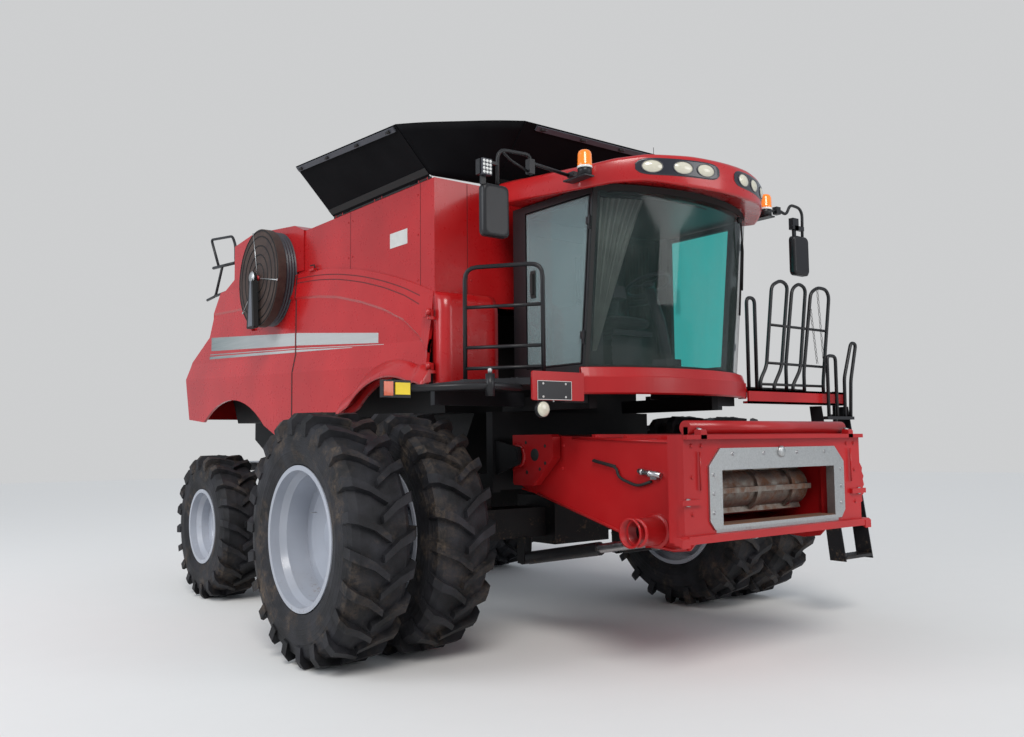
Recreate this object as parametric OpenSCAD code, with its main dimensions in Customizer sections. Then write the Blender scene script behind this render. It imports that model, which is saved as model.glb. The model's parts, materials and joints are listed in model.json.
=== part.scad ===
// Combine harvester without its header, parked with the feeder house raised
// and the grain tank covers open. Millimetres, +Z up, forward is -Y, the
// machine's right side is -X. Lengths along Y are written from the front axle
// and shifted once, so that the origin lies on the floor under the middle.

/* [Wheels] */
// Distance between the front and rear axles
wheelbase = 3680; // [3500:10:3900]
// Outside radius of the front tyres over the lugs
front_tyre_r = 975; // [940:5:1000]
// Width of one front tyre
front_tyre_w = 520; // [460:5:560]
// Bead radius of the front rims
front_rim_r = 533; // [500:1:560]
// Distance of the inner front tyre's middle plane from the centre line
inner_wheel_x = 1731; // [1710:1:1780]
// Distance between the middle planes of the twin front tyres
dual_spacing = 714; // [680:2:760]
// Outside radius of the rear tyres over the lugs
rear_tyre_r = 790; // [750:5:810]
// Width of one rear tyre
rear_tyre_w = 470; // [420:5:500]
// Bead radius of the rear rims
rear_rim_r = 381; // [350:1:400]
// Distance of a rear tyre's middle plane from the centre line
rear_wheel_x = 1912; // [1880:2:1960]
// Height of a tyre's lugs
lug_h = 55; // [40:1:65]
// Lugs on each half of a front tyre
front_lugs = 22; // [18:1:24]
// Lugs on each half of a rear tyre
rear_lugs = 20; // [16:1:22]

/* [Steering] */
// Distance of a kingpin from the centre line
kingpin_x = 1500; // [1470:5:1530]
// Radius of a kingpin
kingpin_r = 40; // [30:1:50]
// Length of a steering arm, from kingpin to tie rod ball
steer_arm = 300; // [260:5:330]

/* [Body] */
// Half width over the side doors and rear panels
panel_x = 1620; // [1590:5:1660]
// Half width of the tank and hood walls above the doors
wall_x = 1540; // [1500:5:1560]
// Height of the top of the tank walls
tank_top = 3950; // [3850:10:4050]
// Front wall of the grain tank, behind the front axle when positive
tank_front = -180; // [-220:5:-140]
// Rear wall of the grain tank
tank_rear = 1700; // [1600:10:1800]
// Vertical seam between side door and rear panel
seam_y = 2470; // [2400:5:2500]
// Rearmost point of the rear panels
hood_rear = 5790; // [5600:10:5900]
// Thickness of the sheet metal walls
wall_t = 30; // [20:1:40]
// Gap around a closed door or panel
door_gap = 8; // [6:1:12]

/* [Tank covers] */
// Length of a cover from its hinge to its free edge
cover_len = 610; // [560:5:620]
// Angle of an open cover outwards from the vertical
cover_flare = 43; // [38:1:48]
// Half length of the front and rear covers
end_cover_x = 900; // [850:5:910]
// Thickness of a cover
cover_t = 14; // [10:1:18]

/* [Cab] */
// Half width of the cab over its side glass
cab_x = 900; // [870:5:930]
// Height of the cab floor's top
cab_floor = 2300; // [2260:5:2340]
// Height of the underside of the roof
cab_top = 3700; // [3650:5:3750]
// Rear wall of the cab, ahead of the front axle
cab_rear = 430; // [400:5:460]
// Foot of the front corner posts, ahead of the front axle
cab_front = 1340; // [1300:5:1380]
// How far the windscreen bows forward at its middle
screen_bow = 270; // [220:5:320]
// How far the cab's front leans forward from foot to top
screen_lean = 130; // [90:5:160]

/* [Feeder house] */
// Front plane of the feeder's face, ahead of the front axle
feeder_reach = 2460; // [2420:5:2500]
// Half width of the feeder house's side sheets
feeder_x = 780; // [740:5:800]
// Half width of the face plate
face_x = 1050; // [1000:5:1080]
// Height of the feeder's pivot shaft
feeder_pivot_z = 1580; // [1550:5:1610]
// Distance of the pivot shaft ahead of the front axle
feeder_pivot_y = 450; // [430:5:480]
// Half width of the crop opening
mouth_x = 670; // [640:5:700]

/* [Unloading auger] */
// Radius of the unloading tube
tube_r = 190; // [160:5:200]
// Distance of the tube's axis from the centre line when folded
tube_x = 1790; // [1770:5:1830]
// Height of the tube's axis
tube_z = 3775; // [3765:5:3800]
// Turret axis, behind the front axle
turret_y = 260; // [220:5:300]
// Rear end of the folded tube, behind the front axle
tube_tail = 6300; // [6200:10:6350]

/* [Air screen] */
// Radius of the rotary air screen
air_screen_r = 540; // [500:5:550]
// Outer face of the rotary air screen from the centre line
air_screen_x = 1770; // [1740:5:1800]

/* [Hidden] */
$fn = 64;
front_axle_y = (feeder_reach + 40 - tube_tail) / 2;
fit_gap = 0.3;
dual_x = inner_wheel_x + dual_spacing;
rail_r = 17;
platform_z = 2170;

// Moves a shape drawn from the front axle into the shared frame
module from_axle() translate([0, front_axle_y, 0]) children();

// A box from its lowest to its highest corner
module span(low, high) translate(low) cube(high - low);

// The same shape on the right and the left
module both_sides() {
    children();
    mirror([1, 0, 0]) children();
}

// The mirror image, for the machine's right
module right_of() mirror([1, 0, 0]) children();

// A cylinder between two points
module bar(a, b, r) {
    d = b - a;
    length = norm(d);
    translate(a)
        rotate([0, acos(d[2] / length), atan2(d[1], d[0])])
            cylinder(r = r, h = length, $fn = 20);
}

// A bent tube through a list of points
module bent_tube(points, r = rail_r) {
    for (i = [0 : len(points) - 2]) bar(points[i], points[i + 1], r);
    for (i = [1 : len(points) - 2]) translate(points[i]) sphere(r = r + 1.5, $fn = 20);
}

// A cylinder along X between two distances from the centre line
module axle_x(r, x0, x1) translate([x0, 0, 0]) rotate([0, 90, 0]) cylinder(r = r, h = x1 - x0);

// A profile in side view, drawn as [y, z], given a width along X
module side_sheet(x0, x1) translate([x0, 0, 0]) rotate([90, 0, 90]) linear_extrude(x1 - x0) children();

// Points on an arc around a centre, from one angle to another
function arc(c, r, a0, a1, n) = [for (i = [0 : n]) let (a = a0 + (a1 - a0) * i / n) c + r * [cos(a), sin(a)]];

// Tyre section: how far up the sidewall, how far out, as shares
module tyre_section(outer_r, width, bead_r) {
    h = outer_r - lug_h - bead_r;
    half = [[0, 0.36], [0.10, 0.44], [0.36, 0.5], [0.64, 0.495], [0.88, 0.45], [0.97, 0.36], [1, 0.16]];
    n = len(half);
    polygon(concat(
        [for (p = half) [bead_r + p[0] * h, p[1] * width]],
        [for (i = [n - 1 : -1 : 0]) [bead_r + half[i][0] * h, -half[i][1] * width]]));
}

// One lug seen on the tread: [across, along, thickness] as shares of the width
module lug_plan(width) {
    spine = [[-0.05, 0.16, 0.10], [0.2, -0.03, 0.12], [0.56, -0.19, 0.15]];
    n = len(spine);
    polygon(concat(
        [for (s = spine) [s[1] + s[2] / 2, s[0]] * width],
        [for (i = [n - 1 : -1 : 0]) [spine[i][1] - spine[i][2] / 2, spine[i][0]] * width]));
}

// One lug standing on the tread at the X axis, cut off at the shoulder
module lug(outer_r, width, bead_r) {
    h = outer_r - bead_r;
    crown = 1 - (outer_r - sqrt(pow(outer_r, 2) - pow(0.22 * width, 2))) / h;
    // [height, across], as shares of the tyre's height and width
    cut = [[crown, -0.06], [crown, 0.2], [0.975, 0.43], [0.84, 0.52], [0.60, 0.51],
           [0.58, 0.42], [0.75, 0.38], [0.81, 0.28], [0.835, -0.06]];
    intersection() {
        translate([bead_r + 0.5 * h, 0, 0]) rotate([90, 0, 90]) linear_extrude(0.55 * h) lug_plan(width);
        translate([0, width, 0]) rotate([90, 0, 0]) linear_extrude(2 * width)
            polygon([for (p = cut) [bead_r + p[0] * h, p[1] * width]]);
    }
}

// A lugged tyre about the Z axis
module tyre(outer_r, width, bead_r, lugs) {
    rotate_extrude($fn = 96) tyre_section(outer_r, width, bead_r);
    for (half = [0, 1], i = [0 : lugs - 1])
        rotate([0, 0, (i + half / 2) * 360 / lugs])
            mirror([0, 0, half]) lug(outer_r, width, bead_r);
}

// A rim about the Z axis, its disc set off from the middle plane
module rim(bead_r, width, disc_at, hub_r, bore_r) {
    seat = bead_r - fit_gap;
    edge = 0.43 * width;
    rotate_extrude($fn = 96)
        polygon([[seat, -edge], [seat + 28, -edge], [seat + 28, -edge - 10], [seat - 10, -edge - 10],
                 [seat - 12, -0.3 * width], [seat - 42, -0.2 * width], [seat - 42, 0.2 * width],
                 [seat - 12, 0.3 * width], [seat - 10, edge + 10], [seat + 28, edge + 10],
                 [seat + 28, edge], [seat, edge], [seat, 0.3 * width], [seat - 30, 0.2 * width],
                 [seat - 30, -0.2 * width], [seat, -0.3 * width]]);
    translate([0, 0, disc_at])
        rotate_extrude($fn = 96)
            polygon([[bore_r, -12], [hub_r + 60, -12], [seat - 120, 60], [seat - 36, 60],
                     [seat - 36, 72], [seat - 125, 72], [hub_r + 55, 0], [bore_r, 0]]);
}

module front_tyre_pair() {
    for (x = [inner_wheel_x, dual_x])
        translate([x, 0, front_tyre_r]) rotate([0, 90, 0])
            tyre(front_tyre_r, front_tyre_w, front_rim_r, front_lugs);
}

hub_bore = 100 + fit_gap;
module front_rim_pair() {
    translate([0, 0, front_tyre_r]) {
        translate([inner_wheel_x, 0, 0]) rotate([0, 90, 0])
            rim(front_rim_r, front_tyre_w, 20, 150, hub_bore);
        translate([dual_x, 0, 0]) rotate([0, 90, 0])
            rim(front_rim_r, front_tyre_w, -150, 150, hub_bore);
        difference() {
            union() {
                axle_x(150, inner_wheel_x - 180, dual_x - 60);
                axle_x(230, inner_wheel_x + 20, inner_wheel_x + 60);
                axle_x(260, dual_x - 200, dual_x - 162);
            }
            axle_x(hub_bore, inner_wheel_x - 200, dual_x - 110);
        }
    }
}

module rear_tyre_shape() {
    translate([rear_wheel_x, wheelbase, rear_tyre_r]) rotate([0, 90, 0])
        tyre(rear_tyre_r, rear_tyre_w, rear_rim_r, rear_lugs);
}

spindle_r = 60;
module rear_rim_shape() {
    translate([rear_wheel_x, wheelbase, rear_tyre_r]) {
        rotate([0, 90, 0]) rim(rear_rim_r, rear_tyre_w, -60, 110, spindle_r + fit_gap);
        difference() {
            axle_x(105, -150, 40);
            axle_x(spindle_r + fit_gap, -160, 20);
        }
    }
}

// Front axle beam with the drop boxes and wheel spindles
module front_axle() from_axle() color("dimgray") {
    inner_face = inner_wheel_x - 0.53 * front_tyre_w;
    span([-1150, -150, front_tyre_r - 130], [1150, 150, front_tyre_r + 130]);
    both_sides() translate([0, 0, front_tyre_r]) {
        axle_x(290, 1080, inner_face - 10);
        axle_x(220, inner_face - 60, inner_wheel_x - 190);
        axle_x(100, 1300, dual_x - 120);
    }
    span([-330, -280, front_tyre_r - 200], [330, 260, front_tyre_r + 230]);
    both_sides() {
        for (x = [lift_x - 42, lift_x + 30]) side_sheet(x, x + 12)
            polygon([[-100, front_tyre_r - 125], [-210, front_tyre_r - 125],
                     [-lift_foot_y - 45, lift_foot_z - 40], [-lift_foot_y + 45, lift_foot_z - 40]]);
        translate([0, -lift_foot_y, lift_foot_z]) axle_x(25, lift_x - 42, lift_x + 42);
    }
}

// Rear axle beam with the forks of the kingpins
fork_gap = 256;
module rear_axle() from_axle() color("dimgray") translate([0, wheelbase, rear_tyre_r]) {
    difference() {
        union() {
            span([-kingpin_x + 130, -100, -100], [kingpin_x - 130, 100, 100]);
            both_sides() for (side = [-1, 1])
                translate([kingpin_x, 0, side * (fork_gap / 2 + 30) - 30]) {
                    cylinder(r = 95, h = 60);
                    translate([-260, -80, 0]) cube([260, 160, 60]);
                }
            both_sides() span([kingpin_x - 280, -80, -fork_gap / 2 - 60],
                              [kingpin_x - 125, 80, fork_gap / 2 + 60]);
        }
        both_sides() translate([kingpin_x, 0, -400]) cylinder(r = kingpin_r + fit_gap, h = 800);
    }
    span([-160, -140, 60], [160, 140, 240]);
}

// Kingpin, spindle and steering arm of one rear wheel
module knuckle() {
    translate([kingpin_x, wheelbase, rear_tyre_r]) {
        translate([0, 0, -fork_gap / 2 + 3]) cylinder(r = 85, h = fork_gap - 6);
        translate([0, 0, -fork_gap / 2 - 58]) cylinder(r = kingpin_r, h = fork_gap + 116);
        axle_x(spindle_r, 0, rear_wheel_x - kingpin_x + 10);
        axle_x(100, 0, rear_wheel_x - kingpin_x - 160);
        translate([-35, 0, -100]) cube([70, steer_arm, 40]);
        translate([0, steer_arm, -100]) cylinder(r = 45, h = 40);
        translate([0, steer_arm, -170]) cylinder(r = 18, h = 80);
    }
}

// Tie rod hung under the steering arms
module tie_rod() from_axle() color("dimgray") translate([0, wheelbase + steer_arm, rear_tyre_r - 140]) {
    difference() {
        union() {
            axle_x(24, -kingpin_x + 30, kingpin_x - 30);
            both_sides() translate([kingpin_x, 0, -24]) cylinder(r = 38, h = 48);
        }
        both_sides() translate([kingpin_x, 0, -60]) cylinder(r = 18 + fit_gap, h = 120);
    }
}

// Frame rails, cross members, feeder shaft and the beams that carry the cab
hitch_y = 4850;
module chassis() from_axle() color("darkred") {
    axle_top = front_tyre_r + 130;
    both_sides() {
        span([880, -200, 1260], [960, 4700, 1420]);
        span([880, -60, axle_top], [960, 60, 1262]);
        span([700, -1250, 1960], [780, -110, 2080]);
        side_sheet(900, 930) polygon([[-150, 1400], [-150, 1720], [-feeder_pivot_y - 70, feeder_pivot_z + 70],
                                      [-feeder_pivot_y - 70, feeder_pivot_z - 70]]);
    }
    for (y = [-200, 4620]) span([-960, y, 1280], [960, y + 80, 1400]);
    span([-960, -200, 1390], [960, -110, 1960]);
    translate([0, -feeder_pivot_y, feeder_pivot_z]) axle_x(60, -935, 935);
    span([-960, wheelbase - 40, 1200], [960, wheelbase + 40, 1282]);
    span([-160, wheelbase - 100, rear_tyre_r + 240], [160, wheelbase + 100, 1282]);
    difference() {
        union() {
            span([-60, 4640, 850], [60, 4700, 1282]);
            span([-90, 4640, 850], [90, hitch_y + 70, 880]);
        }
        translate([0, hitch_y, 800]) cylinder(r = 17, h = 200);
    }
}

// Rotor cage, cleaning box and floor of the separator, closed all round
module separator_body() from_axle() color("silver") {
    side_sheet(-1200, 1200)
        polygon([[180, 1960], [5000, 1960], [5200, 2300], [4700, 2880], [180, 2880]]);
    side_sheet(-880 + fit_gap, 880 - fit_gap)
        polygon([[500, 1421], [700, 1050], [1500, 1000], [1700, 1150], [2500, 1050],
                 [2700, 1150], [4300, 1450], [4690, 1960], [180, 1960]]);
}

// Open side profile of the rear panels and the hood's end, as [y, z]
module rear_outline() {
    polygon(concat(
        [[seam_y, 1955], [seam_y, 3500], [4700, 3610], [5030, 3060], [hood_rear - 120, 2780],
         [hood_rear, 2560], [hood_rear - 160, 2020]],
        arc([wheelbase + 507, 488], 1735, 59, 125.5, 12),
        [[2870, 1790]]));
}

module rear_shell() from_axle() color("firebrick") {
    difference() {
        side_sheet(-panel_x, panel_x) rear_outline();
        side_sheet(-panel_x + wall_t, panel_x - wall_t) offset(delta = -wall_t) rear_outline();
        span([-panel_x + wall_t, seam_y - 50, 1500], [panel_x - wall_t, hood_end + fit_gap, 3800]);
        span([-panel_x + wall_t, seam_y - 50, 1500], [panel_x - wall_t, hood_rear - 200, 2300]);
        translate([0, screen_centre_y, screen_centre_z]) axle_x(air_screen_r + 15, -2000, -1000);
    }
    both_sides() for (y = [2500, 4300])
        span([1200 + fit_gap, y, 2600], [panel_x - wall_t + 5, y + 50, 2680]);
}

// Side door with its wheel arch, on the machine's left
function shoulder_z(y) = 3500 - 510 * pow((2600 - y) / 2720, 2);
module door_outline() {
    polygon(concat(
        [[seam_y - door_gap, 1960], [1160, 1970]],
        arc([300, 1120], 1150, 46, 112, 9),
        [[-190, 2180]],
        [for (i = [0 : 10]) let (y = -120 + i * (seam_y - door_gap + 120) / 10) [y, shoulder_z(y)]]));
}

// Hinge line of a side door, just outside its front edge
door_hinge = [panel_x + 12, -222, 0];
module side_door() {
    side_sheet(panel_x - wall_t, panel_x) door_outline();
    side_sheet(panel_x - 60, panel_x - wall_t) difference() {
        offset(delta = -40) door_outline();
        offset(delta = -90) door_outline();
    }
    for (z = [2300, 2750]) translate(door_hinge + [0, 0, z]) difference() {
        union() {
            cylinder(r = 22, h = 60);
            translate([-40, 0, 0]) cube([40, 110, 60]);
        }
        translate([0, 0, -10]) cylinder(r = 12 + fit_gap, h = 100);
    }
}

// Grain tank, open at the top: plain walls and hopper plates laid edge to edge
hopper_z = [2960, 3420];
hopper_x = 600;
hopper_y = 300;
plate_t = 25;
module grain_tank() from_axle() color("firebrick") {
    inner_x = wall_x - wall_t - fit_gap;
    front = tank_front + wall_t + fit_gap;
    rear = tank_rear - wall_t - fit_gap;
    slack = fit_gap + 0.5;
    for (y = [tank_front, rear + fit_gap])
        span([-inner_x, y, 2880], [inner_x, y + wall_t, tank_top]);
    both_sides() {
        span([wall_x - wall_t, tank_front, 2880], [wall_x, tank_rear, tank_top]);
        translate([0, rear, 0]) rotate([90, 0, 0]) linear_extrude(rear - front)
            polygon([[inner_x, hopper_z[1]], [hopper_x, hopper_z[0]],
                     [hopper_x, hopper_z[0] - plate_t], [inner_x, hopper_z[1] - plate_t]]);
    }
    span([-hopper_x + fit_gap, front, hopper_z[0] - plate_t], [hopper_x - fit_gap, rear, hopper_z[0]]);
    intersection() {
        union() for (end = [[front, 1], [rear, -1]]) side_sheet(-inner_x, inner_x)
            polygon([[end[0], hopper_z[1]], [end[0] + end[1] * hopper_y, hopper_z[0]],
                     [end[0] + end[1] * hopper_y, hopper_z[0] - plate_t], [end[0], hopper_z[1] - plate_t]]);
        translate([0, tank_rear, 0]) rotate([90, 0, 0]) linear_extrude(tank_rear - tank_front)
            polygon([[-inner_x + slack, hopper_z[1]], [-hopper_x + slack, hopper_z[0] + fit_gap],
                     [hopper_x - slack, hopper_z[0] + fit_gap], [inner_x - slack, hopper_z[1]]]);
    }
    both_sides() {
        span([950, tank_front, 2180], [wall_x, tank_front + wall_t, 2880 - fit_gap]);
        for (z = [2270, 2720]) {
            translate(door_hinge + [0, 0, z]) cylinder(r = 12, h = 92);
            span([wall_x - 20, -234, z], [door_hinge[0], -210, z + 26]);
            span([wall_x - 40, -234, z], [wall_x - 10, tank_front + 5, z + 26]);
        }
    }
    for (side = [-1, 1]) {
        translate([side * wall_x, 0, hinge_z]) hinge_ears(tank_front + 45, tank_rear - 45);
        translate([0, side < 0 ? tank_front : tank_rear, hinge_z]) rotate([0, 0, 90])
            hinge_ears(-end_cover_x, end_cover_x);
    }
}

// Ears and pins that carry a cover, for the knuckles of cover_leaf
function knuckles(y0, y1) = [y0 + 60, (y0 + y1) / 2 - 60, y1 - 180];
module hinge_ears(y0, y1) for (y = knuckles(y0, y1)) translate([0, y, 0]) {
    rotate([-90, 0, 0]) translate([0, 0, -12]) cylinder(r = 5, h = 144, $fn = 24);
    for (e = [-14, 124]) translate([-9, e, tank_top - hinge_z]) cube([18, 10, hinge_z - tank_top + 9]);
}

// Hood over the engine, with its top sloping down to the rear
hood_bend = 3600;
hood_end = 4660;
hood_end_z = 3590;
module hood_outline() polygon([[tank_rear + fit_gap, 2880], [tank_rear + fit_gap, tank_top],
                               [hood_bend, tank_top], [hood_end, hood_end_z], [hood_end, 3100], [4560, 2880]]);
// Height at which the foot of a rail stands on the sloping deck
function hood_z(y) = fit_gap + tank_top - (y - rail_r - hood_bend) * (tank_top - hood_end_z) / (hood_end - hood_bend);
module engine_hood() from_axle() color("firebrick") difference() {
    side_sheet(-wall_x, wall_x) hood_outline();
    side_sheet(-wall_x + wall_t, wall_x - wall_t) offset(delta = -wall_t) hood_outline();
    span([-wall_x + wall_t, tank_rear + wall_t, 2800], [wall_x - wall_t, 4500, 2950]);
}

module engine() from_axle() color("darkslategray")
    span([-700, 1980, 2880], [500, 3500, 3700]);

// One tank cover in its closed position, hinge on the Y axis, reaching +X
module cover_leaf(y0, y1) {
    translate([18, y0, -cover_t / 2]) cube([cover_len - 18, y1 - y0, cover_t]);
    for (y = knuckles(y0, y1))
        translate([0, y, 0]) rotate([-90, 0, 0]) difference() {
            union() {
                cylinder(r = 11, h = 120, $fn = 24);
                translate([0, -5, 0]) cube([30, 10, 120]);
            }
            translate([0, 0, -10]) cylinder(r = 5 + fit_gap, h = 140, $fn = 24);
        }
    translate([cover_len - 40, y0 + 250, -cover_t / 2 - 24]) cube([40, y1 - y0 - 500, 24]);
}

hinge_z = tank_top + 18;
open_turn = 180 - (90 - cover_flare);
module side_cover() translate([-wall_x, 0, hinge_z]) rotate([0, -open_turn, 0])
    cover_leaf(tank_front + 45, tank_rear - 45);
module end_cover() rotate([0, -open_turn, 0]) cover_leaf(-end_cover_x, end_cover_x);

module cover_front() from_axle() color("black")
    translate([0, tank_front, hinge_z]) rotate([0, 0, 90]) end_cover();
module cover_rear() from_axle() color("black")
    translate([0, tank_rear, hinge_z]) rotate([0, 0, -90]) end_cover();

// Flexible sheets that close the corners between the open covers
module corner_sheets() from_axle() color("black") {
    out = cover_len * sin(cover_flare);
    up = cover_len * cos(cover_flare);
    for (sx = [-1, 1], end = [-1, 1]) {
        y_wall = end < 0 ? tank_front : tank_rear;
        foot = [sx * wall_x, y_wall, tank_top + 4 + fit_gap];
        side_top = [sx * (wall_x + out), y_wall - end * 30, hinge_z + up];
        end_top = [sx * (end_cover_x + 15), y_wall + end * out, hinge_z + up];
        end_foot = [sx * (end_cover_x + 15), y_wall, tank_top + 4 + fit_gap];
        peak = [sx * (wall_x + 0.35 * out), y_wall + end * 0.75 * out, hinge_z + up + 30];
        for (t = [[foot, side_top, peak], [foot, peak, end_top], [foot, end_top, end_foot]])
            hull() for (p = t) translate(p) cube(8, center = true);
    }
}

// Feeder house drawn at rest, as a tapered box open at both ends
module feeder_profile() {
    polygon([[-350, 1760], [-feeder_reach + 150, 1760], [-feeder_reach + 150, 970],
             [-feeder_reach + 310, 965], [-350, 1300]]);
}

module feeder_house() from_axle() color("red") {
    difference() {
        side_sheet(-feeder_x, feeder_x) feeder_profile();
        side_sheet(-feeder_x + 12, feeder_x - 12)
            polygon([[-300, 1730], [-feeder_reach, 1730], [-feeder_reach, 1000], [-feeder_reach + 310, 1000], [-300, 1335]]);
        translate([0, -feeder_pivot_y, feeder_pivot_z]) axle_x(60.3, -1000, 1000);
        both_sides() span([feeder_x - 40, -1640, 1480], [feeder_x + 40, -1370, 1520]);
    }
    both_sides() translate([feeder_x, 0, 0]) difference() {
        side_sheet(0, 90) polygon([[-370, 1755], [-900, 1755], [-900, 1560], [-640, 1330], [-370, 1330]]);
        translate([0, -feeder_pivot_y, feeder_pivot_z]) axle_x(60.3, -10, 100);
    }
    mirror([1, 0, 0]) translate([feeder_x, -1830, 1040]) difference() {
        axle_x(105, 0, 260);
        axle_x(93, 30, 300);
    }
    both_sides() for (x = [520, 620])
        translate([x, 0, 0]) side_sheet(0, 24) difference() {
            polygon([[-1650, 1075], [-1850, 1040], [-1820, 900], [-1700, 890]]);
            translate([-lift_eye_y, lift_eye_z]) circle(r = 24);
        }
    both_sides() translate([500, -lift_eye_y, lift_eye_z]) axle_x(24.2, 0, 160);
}

module feeder_face() from_axle() color("red") {
    difference() {
        span([-face_x, -feeder_reach, 1010], [face_x, -feeder_reach + 60, 1740]);
        for (x = [-930, 930]) translate([x, -feeder_reach + 70, 1090]) rotate([90, 0, 0]) cylinder(r = 16, h = 100);
        span([-mouth_x - 60, -feeder_reach - 10, 1060], [mouth_x + 60, -feeder_reach + 100, 1540]);
    }
    difference() {
        span([-feeder_x - 40, -feeder_reach + 60, 1000], [feeder_x + 40, -feeder_reach + 150 - fit_gap, 1740]);
        span([-mouth_x - 60, -feeder_reach, 1050], [mouth_x + 60, -feeder_reach + 200, 1545]);
    }
    difference() {
        span([-mouth_x - 60, -feeder_reach - 15, 1060], [mouth_x + 60, -feeder_reach + 60, 1540]);
        span([-mouth_x, -feeder_reach - 50, 1110], [mouth_x, -feeder_reach + 100, 1490]);
    }
    span([-face_x, -feeder_reach - 40, 1700], [face_x, -feeder_reach + 2, 1740]);
    span([-face_x + 40, -feeder_reach + 30, 1740], [face_x - 40, -feeder_reach + 90, 1840]);
}

// Feeder drum, chains and slats as one closed run
module feeder_chain() from_axle() color("dimgray") {
    front = [-feeder_reach + 360, 1330];
    back = [-700, 1540];
    for (x = [-430, 0, 430])
        side_sheet(x - 20, x + 20) difference() {
            hull() { translate(front) circle(r = 175); translate(back) circle(r = 120); }
            hull() { translate(front) circle(r = 150); translate(back) circle(r = 95); }
        }
    translate([0, front[0], front[1]]) axle_x(151, -640, 640);
    translate([0, back[0], back[1]]) axle_x(96, -640, 640);
    for (end = [front, back]) translate([0, end[0], end[1]])
        axle_x(30, -feeder_x + 12 + fit_gap, feeder_x - 12 - fit_gap);
    for (a = [20, 90, 160, 230]) translate([0, front[0], front[1]])
        rotate([a, 0, 0]) span([-630, -20, 150], [630, 20, 190]);
}

// Lift cylinders under the feeder house
lift_foot_y = 150;
lift_foot_z = 660;
lift_eye_y = 1750;
lift_eye_z = 940;
lift_x = 582;
lift_angle = atan2(lift_eye_z - lift_foot_z, lift_eye_y - lift_foot_y);
lift_len = norm([lift_eye_z - lift_foot_z, lift_eye_y - lift_foot_y]);

// Places a shape drawn along Z on the lift cylinder's line
module on_lift(side) translate([side * lift_x, -lift_foot_y, lift_foot_z])
    rotate([90 - lift_angle, 0, 0]) children();

module lift_barrels() from_axle() color("black") {
    for (side = [-1, 1]) on_lift(side) difference() {
        union() {
            translate([0, 0, 80]) cylinder(r = 55, h = 920);
            cylinder(r = 22, h = 90);
            axle_x(50, -28, 28);
        }
        translate([0, 0, 130]) cylinder(r = 38 + fit_gap, h = 1000);
        axle_x(25 + fit_gap, -80, 80);
    }
}

module lift_rods() from_axle() color("silver") {
    for (side = [-1, 1]) on_lift(side) difference() {
        union() {
            translate([0, 0, 560]) cylinder(r = 38, h = lift_len - 620);
            translate([0, 0, lift_len]) axle_x(68, -17, 17);
        }
        translate([0, 0, lift_len]) axle_x(46, -80, 80);
    }
}

// Windscreen line in plan: bowed arc between the front posts, as [x, y]
function bow_r(half, bow) = (half * half + bow * bow) / (2 * bow);
function bowed(half, front, bow, n) = let (r = bow_r(half, bow), a = asin(half / r))
    [for (i = [0 : n]) let (t = -a + 2 * a * i / n) [r * sin(t), -front - bow + r - r * cos(t)]];

// A plan of the cab with its bowed front
module cab_plan(half, rear, front, bow)
    polygon(concat([[half, -rear], [-half, -rear]], bowed(half, front, bow, 12)));

module cab_shell() from_axle() color("black") {
    translate([0, 0, cab_floor - 80]) linear_extrude(80)
        cab_plan(cab_x - 10, cab_rear, cab_front - 20, screen_bow - 30);
    translate([0, 0, cab_top - 60]) linear_extrude(60)
        cab_plan(cab_x - 10, cab_rear, cab_front + screen_lean - 20, screen_bow - 30);
    difference() {
        span([-cab_x + 10, -cab_rear - 40, cab_floor - 10], [cab_x - 10, -cab_rear, cab_top - 50]);
        span([-cab_x + 250, -cab_rear - 60, 2900], [cab_x - 250, -cab_rear + 20, 3500]);
    }
    both_sides() {
        span([cab_x - 60, -cab_rear - 170, cab_floor - 10], [cab_x - 10, -cab_rear, cab_top - 50]);
        hull() {
            translate([cab_x - 60, -cab_front - 10, cab_floor - 5]) cube([45, 60, 2]);
            translate([cab_x - 60, -cab_front - screen_lean - 10, cab_top - 55]) cube([45, 60, 2]);
        }
    }
    both_sides() {
        span([600, -1250, 2080 + fit_gap], [760, -600, cab_floor - 80]);
        on_cab_hinge() for (z = cab_knuckles) {
            translate([0, 0, z]) cylinder(r = 9, h = 110, $fn = 24);
            translate([-28, -9, z]) cube([28, 18, 30]);
        }
    }
}

// Hinge line of a cab door, leaning like the corner post
cab_knuckles = [160, 1060];
cab_hinge = [cab_x + 10, -cab_front + 20, cab_floor];
lean_angle = atan2(screen_lean, cab_top - cab_floor - 76);
module on_cab_hinge() translate(cab_hinge) rotate([lean_angle, 0, 0]) children();

module cab_roof() from_axle() color("red") {
    hull() {
        translate([0, 0, cab_top]) linear_extrude(60)
            cab_plan(1060, cab_rear - 40, 1500, 420);
        translate([0, 0, cab_top + 180]) linear_extrude(40)
            cab_plan(1000, cab_rear - 20, 1440, 400);
        translate([0, 0, cab_top + 260]) linear_extrude(10)
            cab_plan(780, cab_rear + 60, 1250, 330);
    }
}

// A bowed sheet leaning forward with height, in flat strips
module bowed_sheet(half, front, bow, z0, z1, lean, t) {
    line = bowed(half, front, bow, 10);
    for (i = [0 : len(line) - 2])
        hull() for (level = [[z0, 0], [z1 - 1, lean]])
            translate([0, -level[1], level[0]]) linear_extrude(1)
                polygon([line[i], line[i + 1], line[i + 1] + [0, t], line[i] + [0, t]]);
}

module cab_glass() from_axle() color("lightcyan") {
    sill = cab_floor - 70;
    slope = screen_lean / (cab_top - cab_floor - 50);
    bowed_sheet(cab_x + 20, cab_front + 10, screen_bow, sill, cab_top - fit_gap, slope * (cab_top - sill), 6);
    pane = cab_x - 250 - fit_gap;
    span([-pane, -cab_rear - 20, 2900 + fit_gap], [pane, -cab_rear - 14, 3500 - fit_gap]);
}

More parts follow.
